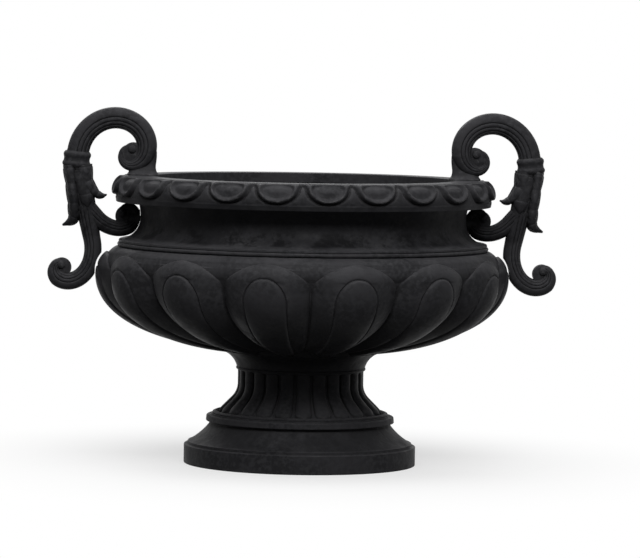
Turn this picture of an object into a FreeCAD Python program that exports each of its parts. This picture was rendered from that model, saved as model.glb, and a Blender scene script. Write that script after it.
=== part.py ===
import FreeCAD, Part
import math
import os

import Sketcher
from FreeCAD import Placement, Rotation, Vector

# Two-handled cast-iron garden urn: stepped round base, reeded stem, gadrooned bowl, flared rim
# with an egg border and two scroll handles. Millimetres, +Z up, origin in the middle of the
# base's underside, +X through a handle.

# Driving dimensions. Radii are from the urn's axis unless their name says otherwise.
SIZES = {
    # what all castings share
    "wall": 9,
    "fit_gap": 0.3,
    "hole_gap": 0.5,
    "thread_gap": 0.1,
    # base
    "plinth_radius": 180,
    "plinth_height": 29,
    "plinth_wall": 13.5,
    "step_inset": 6,
    "step_height": 5,
    "cove_inset": 30,
    "cove_height": 30,
    "cove_curve": 75,
    "cove_lip": 2,
    "torus_height": 11,
    "torus_relief": 1.5,
    "seat_inset": 6,
    "seat_height": 2,
    "drain_radius": 14,
    "drain_circle": 58,
    # stem
    "foot_rim_height": 3,
    "foot_inset": 2,
    "foot_land": 18,
    "shaft_radius": 98,
    "shaft_height": 21.5,
    "flare_curve": 30,
    "flare_length": 33,
    "tongue_count": 24,
    "tongue_relief": 5,
    "tongue_arch": 13.2,
    # bowl
    "boss_height": 29.5,
    "boss_bead": 4.5,
    "boss_flare": 14,
    "boss_step": 3,
    "boss_wall": 18,
    "floor_inset": 14,
    "bowl_drain_radius": 7,
    "belly_overhang": 22,
    "belly_rise": 123,
    "belly_depth": 129,
    "belly_power": 2.2,
    "shoulder_curve": 36,
    "lobe_count": 14,
    "lobe_relief": 23,
    "lobe_arch": 58,
    "lobe_arch_top": 21,
    "leaf_relief": 3,
    "leaf_arch": 44,
    "leaf_arch_top": 50,
    # neck and rim
    "lip_radius": 299.5,
    "bead_height": 7.5,
    "bead_inset": 11.5,
    "bead_relief": 4,
    "neck_height": 61.5,
    "neck_inset": 47,
    "neck_waist": 37,
    "soffit_flare": 3.5,
    "fascia_inset": 9,
    "fascia_height": 8,
    "fascia_lean": 2,
    "lip_height": 40.5,
    "ledge_inset": 26,
    "ledge_round": 2,
    "mouth_inset": 67,
    "egg_count": 24,
    "egg_shift": 4.7,
    "egg_width": 62,
    "egg_length": 37,
    "egg_relief": 7,
    "egg_bed": 1.5,
    "flange_width": 53,
    # handles
    "grip_thickness": 39,
    "grip_width": 35,
    "reed_depth": 1.6,
    "handle_reach": 52.5,
    "collar_rise": 23.5,
    "collar_height": 23,
    "collar_relief": 2.5,
    "scroll_straight": 14,
    "scroll_radius": 64,
    "leg_straight": 127,
    "leg_radius": 75,
    "branch_drop": 68,
    "branch_inset": 9,
    "branch_straight": 35,
    "branch_radius": 60,
    "leaf_drop": 94,
    "eye_radius": 6.5,
    "scroll_disc_radius": 14,
    "leg_disc_radius": 11,
    "branch_disc_radius": 14,
    "web_width": 20,
    "handle_foot_width": 46,
    "pad_height": 2,
    "pad_depth": 16,
    # fasteners
    "rod_radius": 6,
    "rod_end": 6,
    "rod_nut_width": 19,
    "rod_nut_height": 10,
    "rod_washer_radius": 25,
    "rod_washer_height": 4,
    "bolt_radius": 4,
    "bolt_head_width": 13,
    "bolt_head_height": 5.5,
    "bolt_nut_height": 6.5,
    "bolt_washer_radius": 8,
    "bolt_washer_height": 1.6,
    "bolt_depth": 15,
    "bolt_edge": 2,
    "rim_bolt_count": 6,
    "thread_end": 3,
}

# Heights and radii that follow from the driving dimensions.
LEVELS = {
    "base_top": "plinth_height + step_height + cove_height + torus_height + seat_height",
    "seat_radius": "plinth_radius - step_inset - cove_inset - seat_inset",
    "stem_top": "base_top + foot_rim_height + flare_length * 0.7071 + flare_curve * 0.7071"
                " + shaft_height",
    "belly_base": "stem_top + boss_height",
    "belly_level": "belly_base + belly_rise",
    "bowl_top": "belly_level + shoulder_curve",
    "belly_radius": "lip_radius + belly_overhang",
    "neck_radius": "lip_radius - neck_inset",
    "neck_level": "bowl_top + bead_height + neck_waist",
    "lip_base": "bowl_top + bead_height + neck_height",
    "ledge_top": "lip_base + lip_height",
    "ledge_radius": "lip_radius - ledge_inset",
    "mouth_radius": "lip_radius - mouth_inset",
    "shoulder_radius": "belly_radius - shoulder_curve",
    "flange_radius": "shoulder_radius - flange_width",
    "flange_bolt_circle": "flange_radius + bolt_washer_radius + hole_gap + bolt_edge",
    "floor_top": "belly_base + wall",
    "rod_base": "base_top - wall - rod_washer_height - rod_nut_height - rod_end",
    "rod_top": "floor_top + rod_washer_height + rod_nut_height + rod_end",
    "collar_level": "ledge_top + collar_rise",
    "collar_reach": "lip_radius + handle_reach",
}


def fill_sheet(doc, name, cells):
    """A sheet with one alias in column A and its content in column B per row."""
    sheet = doc.addObject("Spreadsheet::Sheet", name)
    for row, (alias, content) in enumerate(cells.items(), start=1):
        sheet.set(f"A{row}", alias)
        sheet.set(f"B{row}", str(content))
        sheet.setAlias(f"B{row}", alias)
    doc.recompute()
    return sheet


doc = FreeCAD.newDocument("garden_urn")
sizes = fill_sheet(doc, "Sizes", SIZES)


def formula(text):
    """Write the aliases in a formula with the sheet that holds them."""
    words = []
    for word in text.replace("(", " ( ").replace(")", " ) ").split():
        if word in SIZES:
            word = "Sizes." + word
        elif word in LEVELS:
            word = "Levels." + word
        words.append(word)
    return " ".join(words)


levels = fill_sheet(doc, "Levels", {})
for row, (alias, text) in enumerate(LEVELS.items(), start=1):
    own = " ".join(w if w in LEVELS else formula(w) for w in text.split())
    levels.set(f"A{row}", alias)
    levels.set(f"B{row}", "=" + own)
    levels.setAlias(f"B{row}", alias)
    doc.recompute()


def size(alias):
    """Value of a driving dimension or of a level."""
    return float(getattr(sizes if alias in SIZES else levels, alias))


def polar(radius, z, angle):
    """Point at a radius, a height and an angle in degrees round the urn's axis."""
    turn = math.radians(angle)
    return Vector(radius * math.cos(turn), radius * math.sin(turn), z)


def arc(start, middle, end):
    return Part.Arc(start, middle, end).toShape()


def revolved(outline):
    """Solid of revolution of a closed outline: (radius, z) corners, or arcs given as a
    pair of such points, the middle and the end."""
    edges = []
    first = Vector(outline[0][0], 0, outline[0][1])
    here = first
    for entry in outline[1:] + [outline[0]]:
        if isinstance(entry[0], tuple):
            middle, end = (Vector(r, 0, z) for r, z in entry)
            edges.append(arc(here, middle, end))
        else:
            end = Vector(entry[0], 0, entry[1])
            if (end - here).Length < 1e-6:
                continue
            edges.append(Part.LineSegment(here, end).toShape())
        here = end
    face = Part.Face(Part.Wire(edges))
    return face.revolve(Vector(0, 0, 0), Vector(0, 0, 1), 360)


def cylinder(radius, bottom, top, x=0.0, y=0.0):
    return Part.makeCylinder(radius, top - bottom, Vector(x, y, bottom))


def ring_of(count, radius, offset=0.0):
    """Places evenly round a circle, as (x, y)."""
    places = []
    for k in range(int(round(count))):
        point = polar(radius, 0, offset + k * 360.0 / count)
        places.append((point.x, point.y))
    return places


def casting(name, shape, placement=None):
    """A sub-part whose shape is set here, with its own label and placement."""
    item = doc.addObject("Part::Feature", name)
    item.Label = name
    item.Shape = shape
    item.Placement = placement or Placement()
    return item


# ---------------------------------------------------------------- base

def value_of(text):
    """Value of a formula, worked out in a spare cell of the levels' sheet."""
    levels.set("D1", "=" + formula(text))
    doc.recompute()
    return float(levels.get("D1"))


def bound_profile(body, name, corners):
    """Closed sketch in the body's XZ plane. Each corner is a pair of formulas, radius and
    height, with a third, the radius of a hollow arc, where the side after it is curved."""
    plane = [f for f in body.Origin.OriginFeatures if f.Role == "XZ_Plane"][0]
    sketch = body.newObject("Sketcher::SketchObject", name)
    sketch.AttachmentSupport = (plane, "")
    sketch.MapMode = "FlatFace"
    points = []
    for corner in corners:
        points.append(Vector(value_of(corner[0]), value_of(corner[1]), 0))
    ends = []
    for k, corner in enumerate(corners):
        here, after = points[k], points[(k + 1) % len(points)]
        if len(corner) == 3:
            radius = value_of(corner[2])
            chord = after - here
            rise = math.sqrt(radius ** 2 - (chord.Length / 2) ** 2)
            across = Vector(chord.y, -chord.x, 0).normalize()
            centre = here + chord * 0.5 + across * rise
            from_angle = math.atan2(after.y - centre.y, after.x - centre.x)
            to_angle = math.atan2(here.y - centre.y, here.x - centre.x)
            circle = Part.Circle(centre, Vector(0, 0, 1), radius)
            sketch.addGeometry(Part.ArcOfCircle(circle, from_angle, to_angle), False)
            ends.append((2, 1))
        else:
            sketch.addGeometry(Part.LineSegment(here, after), False)
            ends.append((1, 2))
    for k, corner in enumerate(corners):
        after = (k + 1) % len(corners)
        sketch.addConstraint(Sketcher.Constraint("Coincident", k, ends[k][1], after, ends[after][0]))
    for k, corner in enumerate(corners):
        for kind, text, value in (("DistanceX", corner[0], points[k].x),
                                  ("DistanceY", corner[1], points[k].y)):
            index = sketch.addConstraint(Sketcher.Constraint(kind, -1, 1, k, ends[k][0], value))
            sketch.setExpression(f"Constraints[{index}]", formula(text))
        if len(corner) == 3:
            radius = value_of(corner[2])
            index = sketch.addConstraint(Sketcher.Constraint("Radius", k, radius))
            sketch.setExpression(f"Constraints[{index}]", formula(corner[2]))
    return sketch


def make_base():
    """Stepped plinth with a hollow cove, a torus and a seat for the stem, open underneath."""
    body = doc.addObject("PartDesign::Body", "base")
    body.Label = "base"
    step = "plinth_radius - step_inset"
    cove = step + " - cove_inset"
    torus_base = "plinth_height + step_height + cove_height"
    outer = [
        ("rod_radius + hole_gap", "base_top"),
        ("rod_radius + hole_gap", "base_top - wall"),
        ("seat_radius - wall", "base_top - wall"),
        ("seat_radius - wall", torus_base + " - wall"),
        (step + " - wall", "plinth_height - wall"),
        ("plinth_radius - plinth_wall", "plinth_height - wall"),
        ("plinth_radius - plinth_wall", "0"),
        ("plinth_radius", "0"),
        ("plinth_radius", "plinth_height"),
        (step, "plinth_height"),
        (step, "plinth_height + step_height"),
        (step + " - cove_lip", "plinth_height + step_height", "cove_curve"),
        (cove, torus_base),
        (cove + " + torus_relief", torus_base + " + torus_relief"),
        (cove + " + torus_relief", torus_base + " + torus_height - torus_relief"),
        (cove, torus_base + " + torus_height"),
        ("seat_radius", torus_base + " + torus_height"),
        ("seat_radius", "base_top"),
    ]
    profile = bound_profile(body, "base_profile", outer)
    turned = body.newObject("PartDesign::Revolution", "base_turned")
    turned.Profile = profile
    turned.ReferenceAxis = (profile, ["V_Axis"])
    turned.Angle = 360
    doc.recompute()

    plane = [f for f in body.Origin.OriginFeatures if f.Role == "XY_Plane"][0]
    drain = body.newObject("Sketcher::SketchObject", "base_drain")
    drain.AttachmentSupport = (plane, "")
    drain.MapMode = "FlatFace"
    centre = Vector(size("drain_circle"), 0, 0)
    drain.addGeometry(Part.Circle(centre, Vector(0, 0, 1), size("drain_radius")), False)
    drain.addConstraint(Sketcher.Constraint("Radius", 0, size("drain_radius")))
    drain.setExpression("Constraints[0]", formula("drain_radius"))
    drain.addConstraint(Sketcher.Constraint("DistanceX", -1, 1, 0, 3, centre.x))
    drain.setExpression("Constraints[1]", formula("drain_circle"))
    drain.addConstraint(Sketcher.Constraint("PointOnObject", 0, 3, -1))
    pocket = body.newObject("PartDesign::Pocket", "base_drain_hole")
    pocket.Profile = drain
    pocket.Type = "ThroughAll"
    pocket.Midplane = True
    doc.recompute()

    drains = body.newObject("PartDesign::PolarPattern", "base_drains")
    drains.Originals = [pocket]
    drains.Axis = (drain, ["N_Axis"])
    drains.Angle = 360
    drains.Occurrences = 4
    body.Tip = drains
    doc.recompute()
    if drains.Shape.Volume >= turned.Shape.Volume:
        raise RuntimeError("the base's drain holes cut nothing")
    return body


# ---------------------------------------------------------------- lobed walls

def lobed_ring(count, crest, normal, relief, fill, inner_fill=0.0, incision=0.0, phase=0.0):
    """One ring of a lobed wall. crest is the (radius, z) of a lobe's middle, normal the
    wall's (radial, z) direction there, relief the depth of the grooves along it, fill the
    lobe's share of its pitch. With inner_fill a raised leaf lies in each lobe, inside an
    incised line."""
    pitch = 360.0 / count
    half = fill * pitch / 2

    def wall_point(angle, depth):
        return (crest[0] - normal[0] * depth, crest[1] - normal[1] * depth, angle)

    def on_lobe(share):
        return wall_point(half * share, relief * share * share)

    edges = []
    for k in range(count):
        middle = phase + k * pitch

        def at(point, middle=middle):
            return polar(point[0], point[1], middle + point[2])

        stops = [(-1.0, 0.0)]
        if inner_fill:
            stops += [(-inner_fill, incision), (inner_fill, incision)]
        stops += [(1.0, 0.0)]
        for (start, cut_a), (end, cut_b) in zip(stops[:-1], stops[1:]):
            a = on_lobe(start)
            b = on_lobe((start + end) / 2)
            c = on_lobe(end)
            a = (a[0] - normal[0] * cut_a, a[1] - normal[1] * cut_a, a[2])
            c = (c[0] - normal[0] * cut_b, c[1] - normal[1] * cut_b, c[2])
            edges.append(arc(at(a), at(b), at(c)))
        root = wall_point(half, relief)
        gap = wall_point(pitch / 2, relief)
        after = wall_point(pitch - half, relief)
        edges.append(arc(at(root), at(gap), at(after)))
    return Part.Wire(edges)


def arch_fill(run, arch, widest, least=0.04):
    """Share of the pitch that a round-topped lobe fills, at a run down from its top."""
    if run <= 0:
        return least
    if run >= arch:
        return widest
    return max(least, widest * math.sqrt(1 - (1 - run / arch) ** 2))


# ---------------------------------------------------------------- stem

# Share of its pitch that a tongue fills, along its length and at the tip of its rounded end.
TONGUE_FILL = 0.84
TONGUE_TIP_FILL = 0.1


def stem_profile():
    """Crest line of the stem from its top down: (radius, z, normal, run)."""
    top = size("stem_top")
    bend_z = top - size("shaft_height")
    curve = size("flare_curve")
    stations = []
    for share in (0.0, 0.08, 0.5, 1.0):
        z = top - size("shaft_height") * share
        stations.append((size("shaft_radius"), z, (1.0, 0.0)))
    for angle in (15, 30, 45):
        turn = math.radians(angle)
        radius = size("shaft_radius") + curve * (1 - math.cos(turn))
        stations.append((radius, bend_z - curve * math.sin(turn), (math.cos(turn), math.sin(turn))))
    start = stations[-1]
    slant = math.sqrt(0.5)
    for share in (0.35, 0.6, 0.8, 0.92, 1.0):
        along = size("flare_length") * share
        stations.append((start[0] + along * slant, start[1] - along * slant, (slant, slant)))
    return stations


def make_stem():
    """Hollow socle with raised tongues that flare to rounded ends over a plain foot."""
    count = int(round(size("tongue_count")))
    relief = size("tongue_relief")
    stations = stem_profile()
    arch, length = size("tongue_arch"), size("flare_length")
    flare_start = 6
    start = stations[flare_start]
    rings = []
    last = stations[-1]
    for k, (radius, z, normal) in enumerate(stations):
        fill, depth = TONGUE_FILL, relief
        if k > flare_start:
            from_end = length - math.hypot(radius - start[0], z - start[1])
            fill = arch_fill(from_end, arch, TONGUE_FILL, TONGUE_TIP_FILL)
            depth = relief * min(1.0, 0.05 + from_end / arch)
        rings.append(lobed_ring(count, (radius, z), normal, depth, fill))
    level = (1.0, 0.0)
    rings[-1] = lobed_ring(count, (last[0] - relief, last[1] - 0.5), level, 0.0, fill)
    skin = Part.makeLoft(rings[:0:-1], True, False)
    foot_z = size("base_top")
    foot_radius = size("seat_radius") - size("foot_inset")
    inner = size("shaft_radius") - relief - size("wall")
    core_top = stations[1][1]
    bend = stations[4:7]
    core = revolved([
        (0.0, foot_z), (foot_radius, foot_z), (foot_radius, foot_z + size("foot_rim_height")),
        (last[0] - relief * 0.7, last[1] + relief * 0.9), (start[0] - relief, start[1]),
        (size("shaft_radius") - relief, bend[0][1] + 8), (size("shaft_radius") - relief, core_top),
        (size("shaft_radius"), core_top), (size("shaft_radius"), size("stem_top")),
        (0.0, size("stem_top")),
    ])
    plate_z = size("stem_top") - size("wall")
    hollow = revolved([
        (0.0, foot_z), (foot_radius - size("foot_land"), foot_z),
        (start[0] - relief - size("wall"), start[1] - size("wall") * 0.4),
        (inner, bend[0][1]), (inner, plate_z), (0.0, plate_z),
    ])
    shape = core.fuse(skin).cut(hollow)
    cuts = [cylinder(size("rod_radius") + size("hole_gap"), plate_z - 1, size("stem_top") + 1)]
    for x, y in ring_of(4, size("drain_circle")):
        cuts.append(cylinder(size("drain_radius"), plate_z - 1, size("stem_top") + 1, x, y))
    shape = shape.cut(Part.makeCompound(cuts)).removeSplitter()
    return casting("stem", shape)


# ---------------------------------------------------------------- bowl

# Share of its pitch that a lobe fills, outside and inside the wall, and the leaf on it.
LOBE_FILL = 0.92
LOBE_HOLLOW_FILL = 0.8
LEAF_FILL = 0.62
BARE_FILL = 0.04


def belly_stations():
    """Crest line of the bowl's lobes from the shoulder down: (radius, z, normal, run)."""
    curve = size("shoulder_curve")
    radius, level = size("belly_radius"), size("belly_level")
    depth, power = size("belly_depth"), size("belly_power")
    stations = []
    for angle in (90, 76, 62, 52, 42, 32, 20, 8):
        turn = math.radians(angle)
        stations.append((radius - curve + curve * math.cos(turn), level + curve * math.sin(turn),
                         (math.cos(turn), math.sin(turn)), curve * (math.pi / 2 - turn)))
    run = curve * math.pi / 2
    here = (radius, level)
    last_rise = min(0.995, size("belly_rise") / depth)
    end = math.degrees(math.asin(last_rise ** (power / 2)))
    for share in (0.06, 0.16, 0.28, 0.4, 0.52, 0.64, 0.76, 0.87, 0.95, 1.0):
        turn = math.radians(end * share)
        r = radius * math.cos(turn) ** (2 / power)
        z = level - depth * math.sin(turn) ** (2 / power)
        n_r = (r / radius) ** (power - 1) / radius
        n_z = -((level - z) / depth) ** (power - 1) / depth
        length = math.hypot(n_r, n_z)
        run += math.hypot(r - here[0], z - here[1])
        here = (r, z)
        stations.append((r, z, (n_r / length, n_z / length), run))
    return stations


def make_bowl():
    """Gadrooned bowl: round-topped lobes with an incised inner leaf, on a plain boss, with
    an inward flange under the neck. Inside, the wall follows the lobes."""
    count = int(round(size("lobe_count")))
    stations = belly_stations()
    wall, relief = size("wall"), size("lobe_relief")
    outer, inner = [], []
    for radius, z, normal, run in stations:
        slimmer = radius / size("belly_radius")
        below_arch = run - size("lobe_arch_top")
        below_leaf = run - size("leaf_arch_top")
        fill = arch_fill(below_arch, size("lobe_arch"), LOBE_FILL)
        leaf = arch_fill(below_leaf, size("leaf_arch"), LEAF_FILL)
        rise = min(1.0, max(0.0, below_arch + 3) / size("lobe_arch"))
        depth = max(0.02, relief * rise ** 0.8 * slimmer ** 0.9)
        line = size("leaf_relief") * min(1.0, max(0.08, below_leaf) / 8) * slimmer
        outer.append(lobed_ring(count, (radius, z), normal, depth, fill, leaf, line))
        inside = (radius - normal[0] * wall, z - normal[1] * wall)
        hollow_fill = max(BARE_FILL, fill - LOBE_FILL + LOBE_HOLLOW_FILL)
        inner.append(lobed_ring(count, inside, normal, depth, hollow_fill))
    level = (1.0, 0.0)
    first_radius, first_z = stations[0][0], stations[0][1]
    last_radius, last_z = stations[-1][0], stations[-1][1]
    floor = size("floor_top")
    outer[0] = lobed_ring(count, (first_radius, first_z), level, 0.0, BARE_FILL, BARE_FILL)
    inner[0] = lobed_ring(count, (first_radius, first_z - wall), level, 0.0, BARE_FILL)
    outer[-1] = lobed_ring(count, (last_radius - 2, last_z), level, 0.0, LOBE_FILL, LEAF_FILL)
    inner[-2:] = [lobed_ring(count, (last_radius - size("floor_inset"), floor), level, 0.0,
                             LOBE_HOLLOW_FILL)]
    skin = Part.makeLoft(outer[::-1], True, False)
    hollow = Part.makeLoft(inner[::-1], True, False)

    foot, joint = size("stem_top"), size("belly_base")
    narrow = size("shaft_radius")
    bead = narrow + size("boss_step")
    boss = revolved([
        (0.0, foot), (bead, foot),
        ((bead + size("boss_bead") / 3, foot + size("boss_bead") / 2),
         (bead, foot + size("boss_bead"))),
        ((narrow + size("boss_flare") * 0.35, (foot + joint) / 2 + size("boss_step")),
         (narrow + size("boss_flare"), joint + 0.4)),
        (narrow - 2, joint + wall * 0.6), (0.0, joint + wall * 0.6),
    ])
    shape = skin.fuse(boss).cut(hollow)
    mouth = cylinder(size("flange_radius"), size("bowl_top") - wall * 2, size("bowl_top") + 1)
    under = cylinder(narrow - size("boss_wall"), foot - 1, joint - 1)
    cuts = [mouth, under, cylinder(size("rod_radius") + size("hole_gap"), foot, floor + wall)]
    for x, y in ring_of(4, size("drain_circle")):
        cuts.append(cylinder(size("bowl_drain_radius"), foot, floor + wall, x, y))
    for x, y in ring_of(size("rim_bolt_count"), size("flange_bolt_circle"), 30):
        cuts.append(cylinder(size("bolt_radius") + size("hole_gap"),
                             size("bowl_top") - wall * 2, size("bowl_top") + 1, x, y))
    for cut in cuts:
        shape = shape.cut(cut)
    return casting("bowl", shape)


# ---------------------------------------------------------------- neck and rim

def neck_arc(offset):
    """Hollow arc of the neck from its foot to its waist, offset inwards: start, middle,
    end."""
    centre_r = size("lip_radius") - size("bead_inset") - size("bead_relief")
    centre_z = size("neck_level")
    across = centre_r - size("neck_radius") + offset
    down = size("neck_waist") + offset

    def at(z):
        rest = max(0.0, 1 - ((centre_z - z) / down) ** 2)
        return (centre_r - across * math.sqrt(rest), z)
    foot_z = size("bowl_top") + size("bead_height")
    foot_z += (size("wall") - size("bead_height")) if offset > 0 else 0.0
    return at(foot_z), at(centre_z - down * 0.5), (centre_r - across, centre_z)


def egg_shape():
    """One egg, bulging along +X, wide along Y and long along Z, lofted over its width."""
    half_width, half_length = size("egg_width") / 2, size("egg_length") / 2
    relief = size("egg_relief") + 1
    sections = []
    for angle in range(-80, 81, 20):
        y = half_width * math.sin(math.radians(angle))
        share = math.cos(math.radians(angle))
        low, high = Vector(0, y, -half_length * share), Vector(0, y, half_length * share)
        sections.append(Part.Wire([arc(low, Vector(relief * share, y, 0), high),
                                   arc(high, Vector(-relief * share / 2, y, 0), low)]))
    return Part.makeLoft(sections, True, False)


def make_rim():
    """Neck, soffit and everted lip with a border of eggs; an inward flange sits on the
    bowl's, and the lip is open underneath."""
    wall = size("wall")
    joint, lip_base, top = size("bowl_top"), size("lip_base"), size("ledge_top")
    lip, neck, ledge = size("lip_radius"), size("neck_radius"), size("ledge_radius")
    bead = lip - size("bead_inset")
    fascia = lip - size("fascia_inset")
    fascia_top = lip_base + size("fascia_height")
    outer_foot, outer_middle, outer_waist = neck_arc(0.0)
    inner_foot, inner_middle, inner_waist = neck_arc(wall)
    lean, edge = size("fascia_lean"), size("ledge_round")
    soffit = neck + size("soffit_flare")
    swell = (lip - size("egg_relief") - size("egg_bed"), (fascia_top + top) / 2 + 1)
    bead_root = bead - size("bead_relief")
    body = revolved([
        (size("flange_radius"), joint), (bead_root + 1, joint),
        ((bead, joint + size("bead_height") / 2), (bead_root, joint + size("bead_height"))),
        (outer_middle, outer_waist),
        ((neck + 0.8, (size("neck_level") + lip_base) / 2), (soffit, lip_base)),
        (neck + wall, top - wall), (ledge - wall * 0.6, top - wall),
        (swell[0] - wall, swell[1]), (fascia - wall, fascia_top), (fascia - wall * 0.8, lip_base),
        (fascia, lip_base), (fascia + lean, fascia_top),
        (fascia + lean / 4, fascia_top + lean / 2),
        (swell, (ledge, top - edge)), (ledge - edge, top),
        (size("mouth_radius"), top), (size("mouth_radius"), top - wall), (neck, top - wall),
        (soffit - wall, lip_base), inner_waist,
        (inner_middle, inner_foot), (size("flange_radius"), joint + wall),
    ])
    slope = math.atan2(top - fascia_top, fascia - ledge)
    normal = Vector(math.sin(slope), 0, math.cos(slope))
    egg = egg_shape()
    egg.rotate(Vector(), Vector(0, 1, 0), -math.degrees(math.asin(normal.z)))
    egg.translate(Vector(swell[0], 0, swell[1] - 1) - normal)
    eggs = []
    for k in range(int(round(size("egg_count")))):
        turned = egg.copy()
        turned.rotate(Vector(), Vector(0, 0, 1), size("egg_shift") + k * 360.0 / size("egg_count"))
        eggs.append(turned)
    inside = revolved([(0.0, lip_base), (fascia - wall, lip_base), (fascia - wall, fascia_top),
                       (swell[0] - wall, swell[1]), (ledge - wall * 0.6, top - wall),
                       (0.0, top - wall)])
    border = Part.makeCompound(eggs).cut(inside)
    shape = body.fuse(border.Solids)

    z = neck_bolt_level()
    for side in (1, -1):
        pad = Part.makeCylinder(size("bolt_washer_radius") + size("bolt_edge"),
                                wall + size("pad_height") * 2,
                                Vector(side * (neck - wall - size("pad_height")), 0, z),
                                Vector(side, 0, 0))
        shape = shape.fuse(pad)
        hole = Part.makeCylinder(size("bolt_radius") + size("hole_gap"), wall * 3,
                                 Vector(side * (neck - wall * 2), 0, z), Vector(side, 0, 0))
        shape = shape.cut(hole)
        shape = shape.cut(cylinder(size("bolt_radius") + size("hole_gap"), top - wall * 2,
                                   top + 1, side * ledge_bolt_radius()))
    for x, y in ring_of(size("rim_bolt_count"), size("flange_bolt_circle"), 30):
        shape = shape.cut(cylinder(size("bolt_radius") + size("hole_gap"), joint - 1,
                                   joint + wall + 1, x, y))
    return casting("rim", shape)


def ledge_bolt_radius():
    return size("mouth_radius") + size("bolt_washer_radius") + size("hole_gap")


def neck_bolt_level():
    return size("neck_level") - 2


# ---------------------------------------------------------------- handles

# Shares of each scroll's own radius, one per turn, and of the grip's thickness.
SCROLL_TURN = 90
SCROLL_CURVE = (1.0, 0.83, 0.55, 0.235, 0.23, 0.16, 0.09)
SCROLL_TAPER = (1.0, 0.88, 0.85, 0.8, 0.42, 0.24, 0.19, 0.16)
LEG_TURN = 72
LEG_CURVE = (1.0, 0.453, 0.247, 0.16, 0.09, 0.06)
LEG_TAPER = (0.97, 0.69, 0.69, 0.69, 0.42, 0.3, 0.22)
BRANCH_TURN = -72
BRANCH_CURVE = (1.0, 0.38, 0.18, 0.155, 0.13)
BRANCH_TAPER = (0.8, 0.66, 0.6, 0.3, 0.26, 0.18)
PATH_STEP = 12
STRAIGHT_STEP = 13


def scroll_path(start, heading, straight, radius, curve, turn):
    """Centre line of a scroll in the XZ plane: a straight run, then one turn per step of
    its curve, the radius changing evenly over each. A list of (x, z, heading, key)."""
    x, z = start
    stations = [(x, z, heading, 0.0)]
    steps = int(math.ceil(straight / STRAIGHT_STEP))
    for step in range(steps):
        x += straight / steps * math.cos(math.radians(heading))
        z += straight / steps * math.sin(math.radians(heading))
        stations.append((x, z, heading, (step + 1) / steps))
    parts = int(math.ceil(abs(turn) / PATH_STEP))
    for key in range(len(curve) - 1):
        for part in range(parts):
            share = (part + 0.5) / parts
            bend = radius * (curve[key] + (curve[key + 1] - curve[key]) * share)
            chord = 2 * bend * math.sin(math.radians(abs(turn) / parts / 2))
            heading += turn / parts / 2
            x += chord * math.cos(math.radians(heading))
            z += chord * math.sin(math.radians(heading))
            heading += turn / parts / 2
            stations.append((x, z, heading, 1 + key + (part + 1) / parts))
    return stations


def reeded_section(x, z, heading, thickness, width, reed):
    """Closed section of eight reeds round an oval, square to the path."""
    across = Vector(-math.sin(math.radians(heading)), 0, math.cos(math.radians(heading)))
    side = Vector(0, 1, 0)
    centre = Vector(x, 0, z)

    def at(turn, depth):
        angle = math.radians(turn)
        return (centre + across * ((thickness / 2 - depth) * math.cos(angle))
                + side * ((width / 2 - depth) * math.sin(angle)))
    edges = []
    for k in range(8):
        edges.append(arc(at(k * 45 - 22.5, reed), at(k * 45, 0), at(k * 45 + 22.5, reed)))
    return Part.Wire(edges)


def reeded_bar(stations, taper):
    """Tapering reeded bar along a scroll's centre line."""
    grip, width = size("grip_thickness"), size("grip_width")
    sections = []
    for x, z, heading, key in stations:
        low = min(int(key), len(taper) - 2)
        share = taper[low] + (taper[low + 1] - taper[low]) * (key - low)
        thickness = grip * share
        across = width * share ** 0.6
        reed = size("reed_depth") * share
        sections.append(reeded_section(x, z, heading, thickness, across, reed))
    return Part.makeLoft(sections, True, False)


def leaf(stations):
    """Leaf lofted through lens-shaped sections: (x, z, heading, thickness, width)."""
    sections = []
    for x, z, heading, thickness, width in stations:
        across = Vector(-math.sin(math.radians(heading)), 0, math.cos(math.radians(heading)))
        side = Vector(0, width / 2, 0)
        centre = Vector(x, 0, z)
        top, low = centre + across * (thickness / 2), centre - across * (thickness / 2)
        sections.append(Part.Wire([arc(centre - side, top, centre + side),
                                   arc(centre + side, low, centre - side)]))
    return Part.makeLoft(sections, True, False)


def disc(x, z, radius, width):
    return Part.makeCylinder(radius, width, Vector(x, -width / 2, z), Vector(0, 1, 0))


def handle_envelope():
    """Everything of bowl and rim that the handles stand clear of."""
    gap = size("fit_gap")
    foot, middle, waist = neck_arc(0.0)
    level, top = size("belly_level"), size("bowl_top")
    belly, shoulder = size("belly_radius") + gap, size("shoulder_radius")
    curve = size("shoulder_curve") + gap
    bead = size("lip_radius") - size("bead_inset") + gap
    bead_top = top + size("bead_height") + gap
    lip = size("lip_radius") + gap
    return revolved([
        (0.0, level - 90), (belly, level - 90), (belly, level),
        ((shoulder + curve * math.sqrt(0.5), level + curve * math.sqrt(0.5)), (shoulder + 6, top)),
        (bead, top), (bead, bead_top), (foot[0] + gap, bead_top),
        ((middle[0] + gap, middle[1]), (waist[0] + gap, waist[1])),
        (size("neck_radius") + size("soffit_flare") + gap, size("lip_base") - gap),
        (lip, size("lip_base") - gap),
        (lip, size("ledge_top")), (0.0, size("ledge_top")),
    ])


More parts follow.
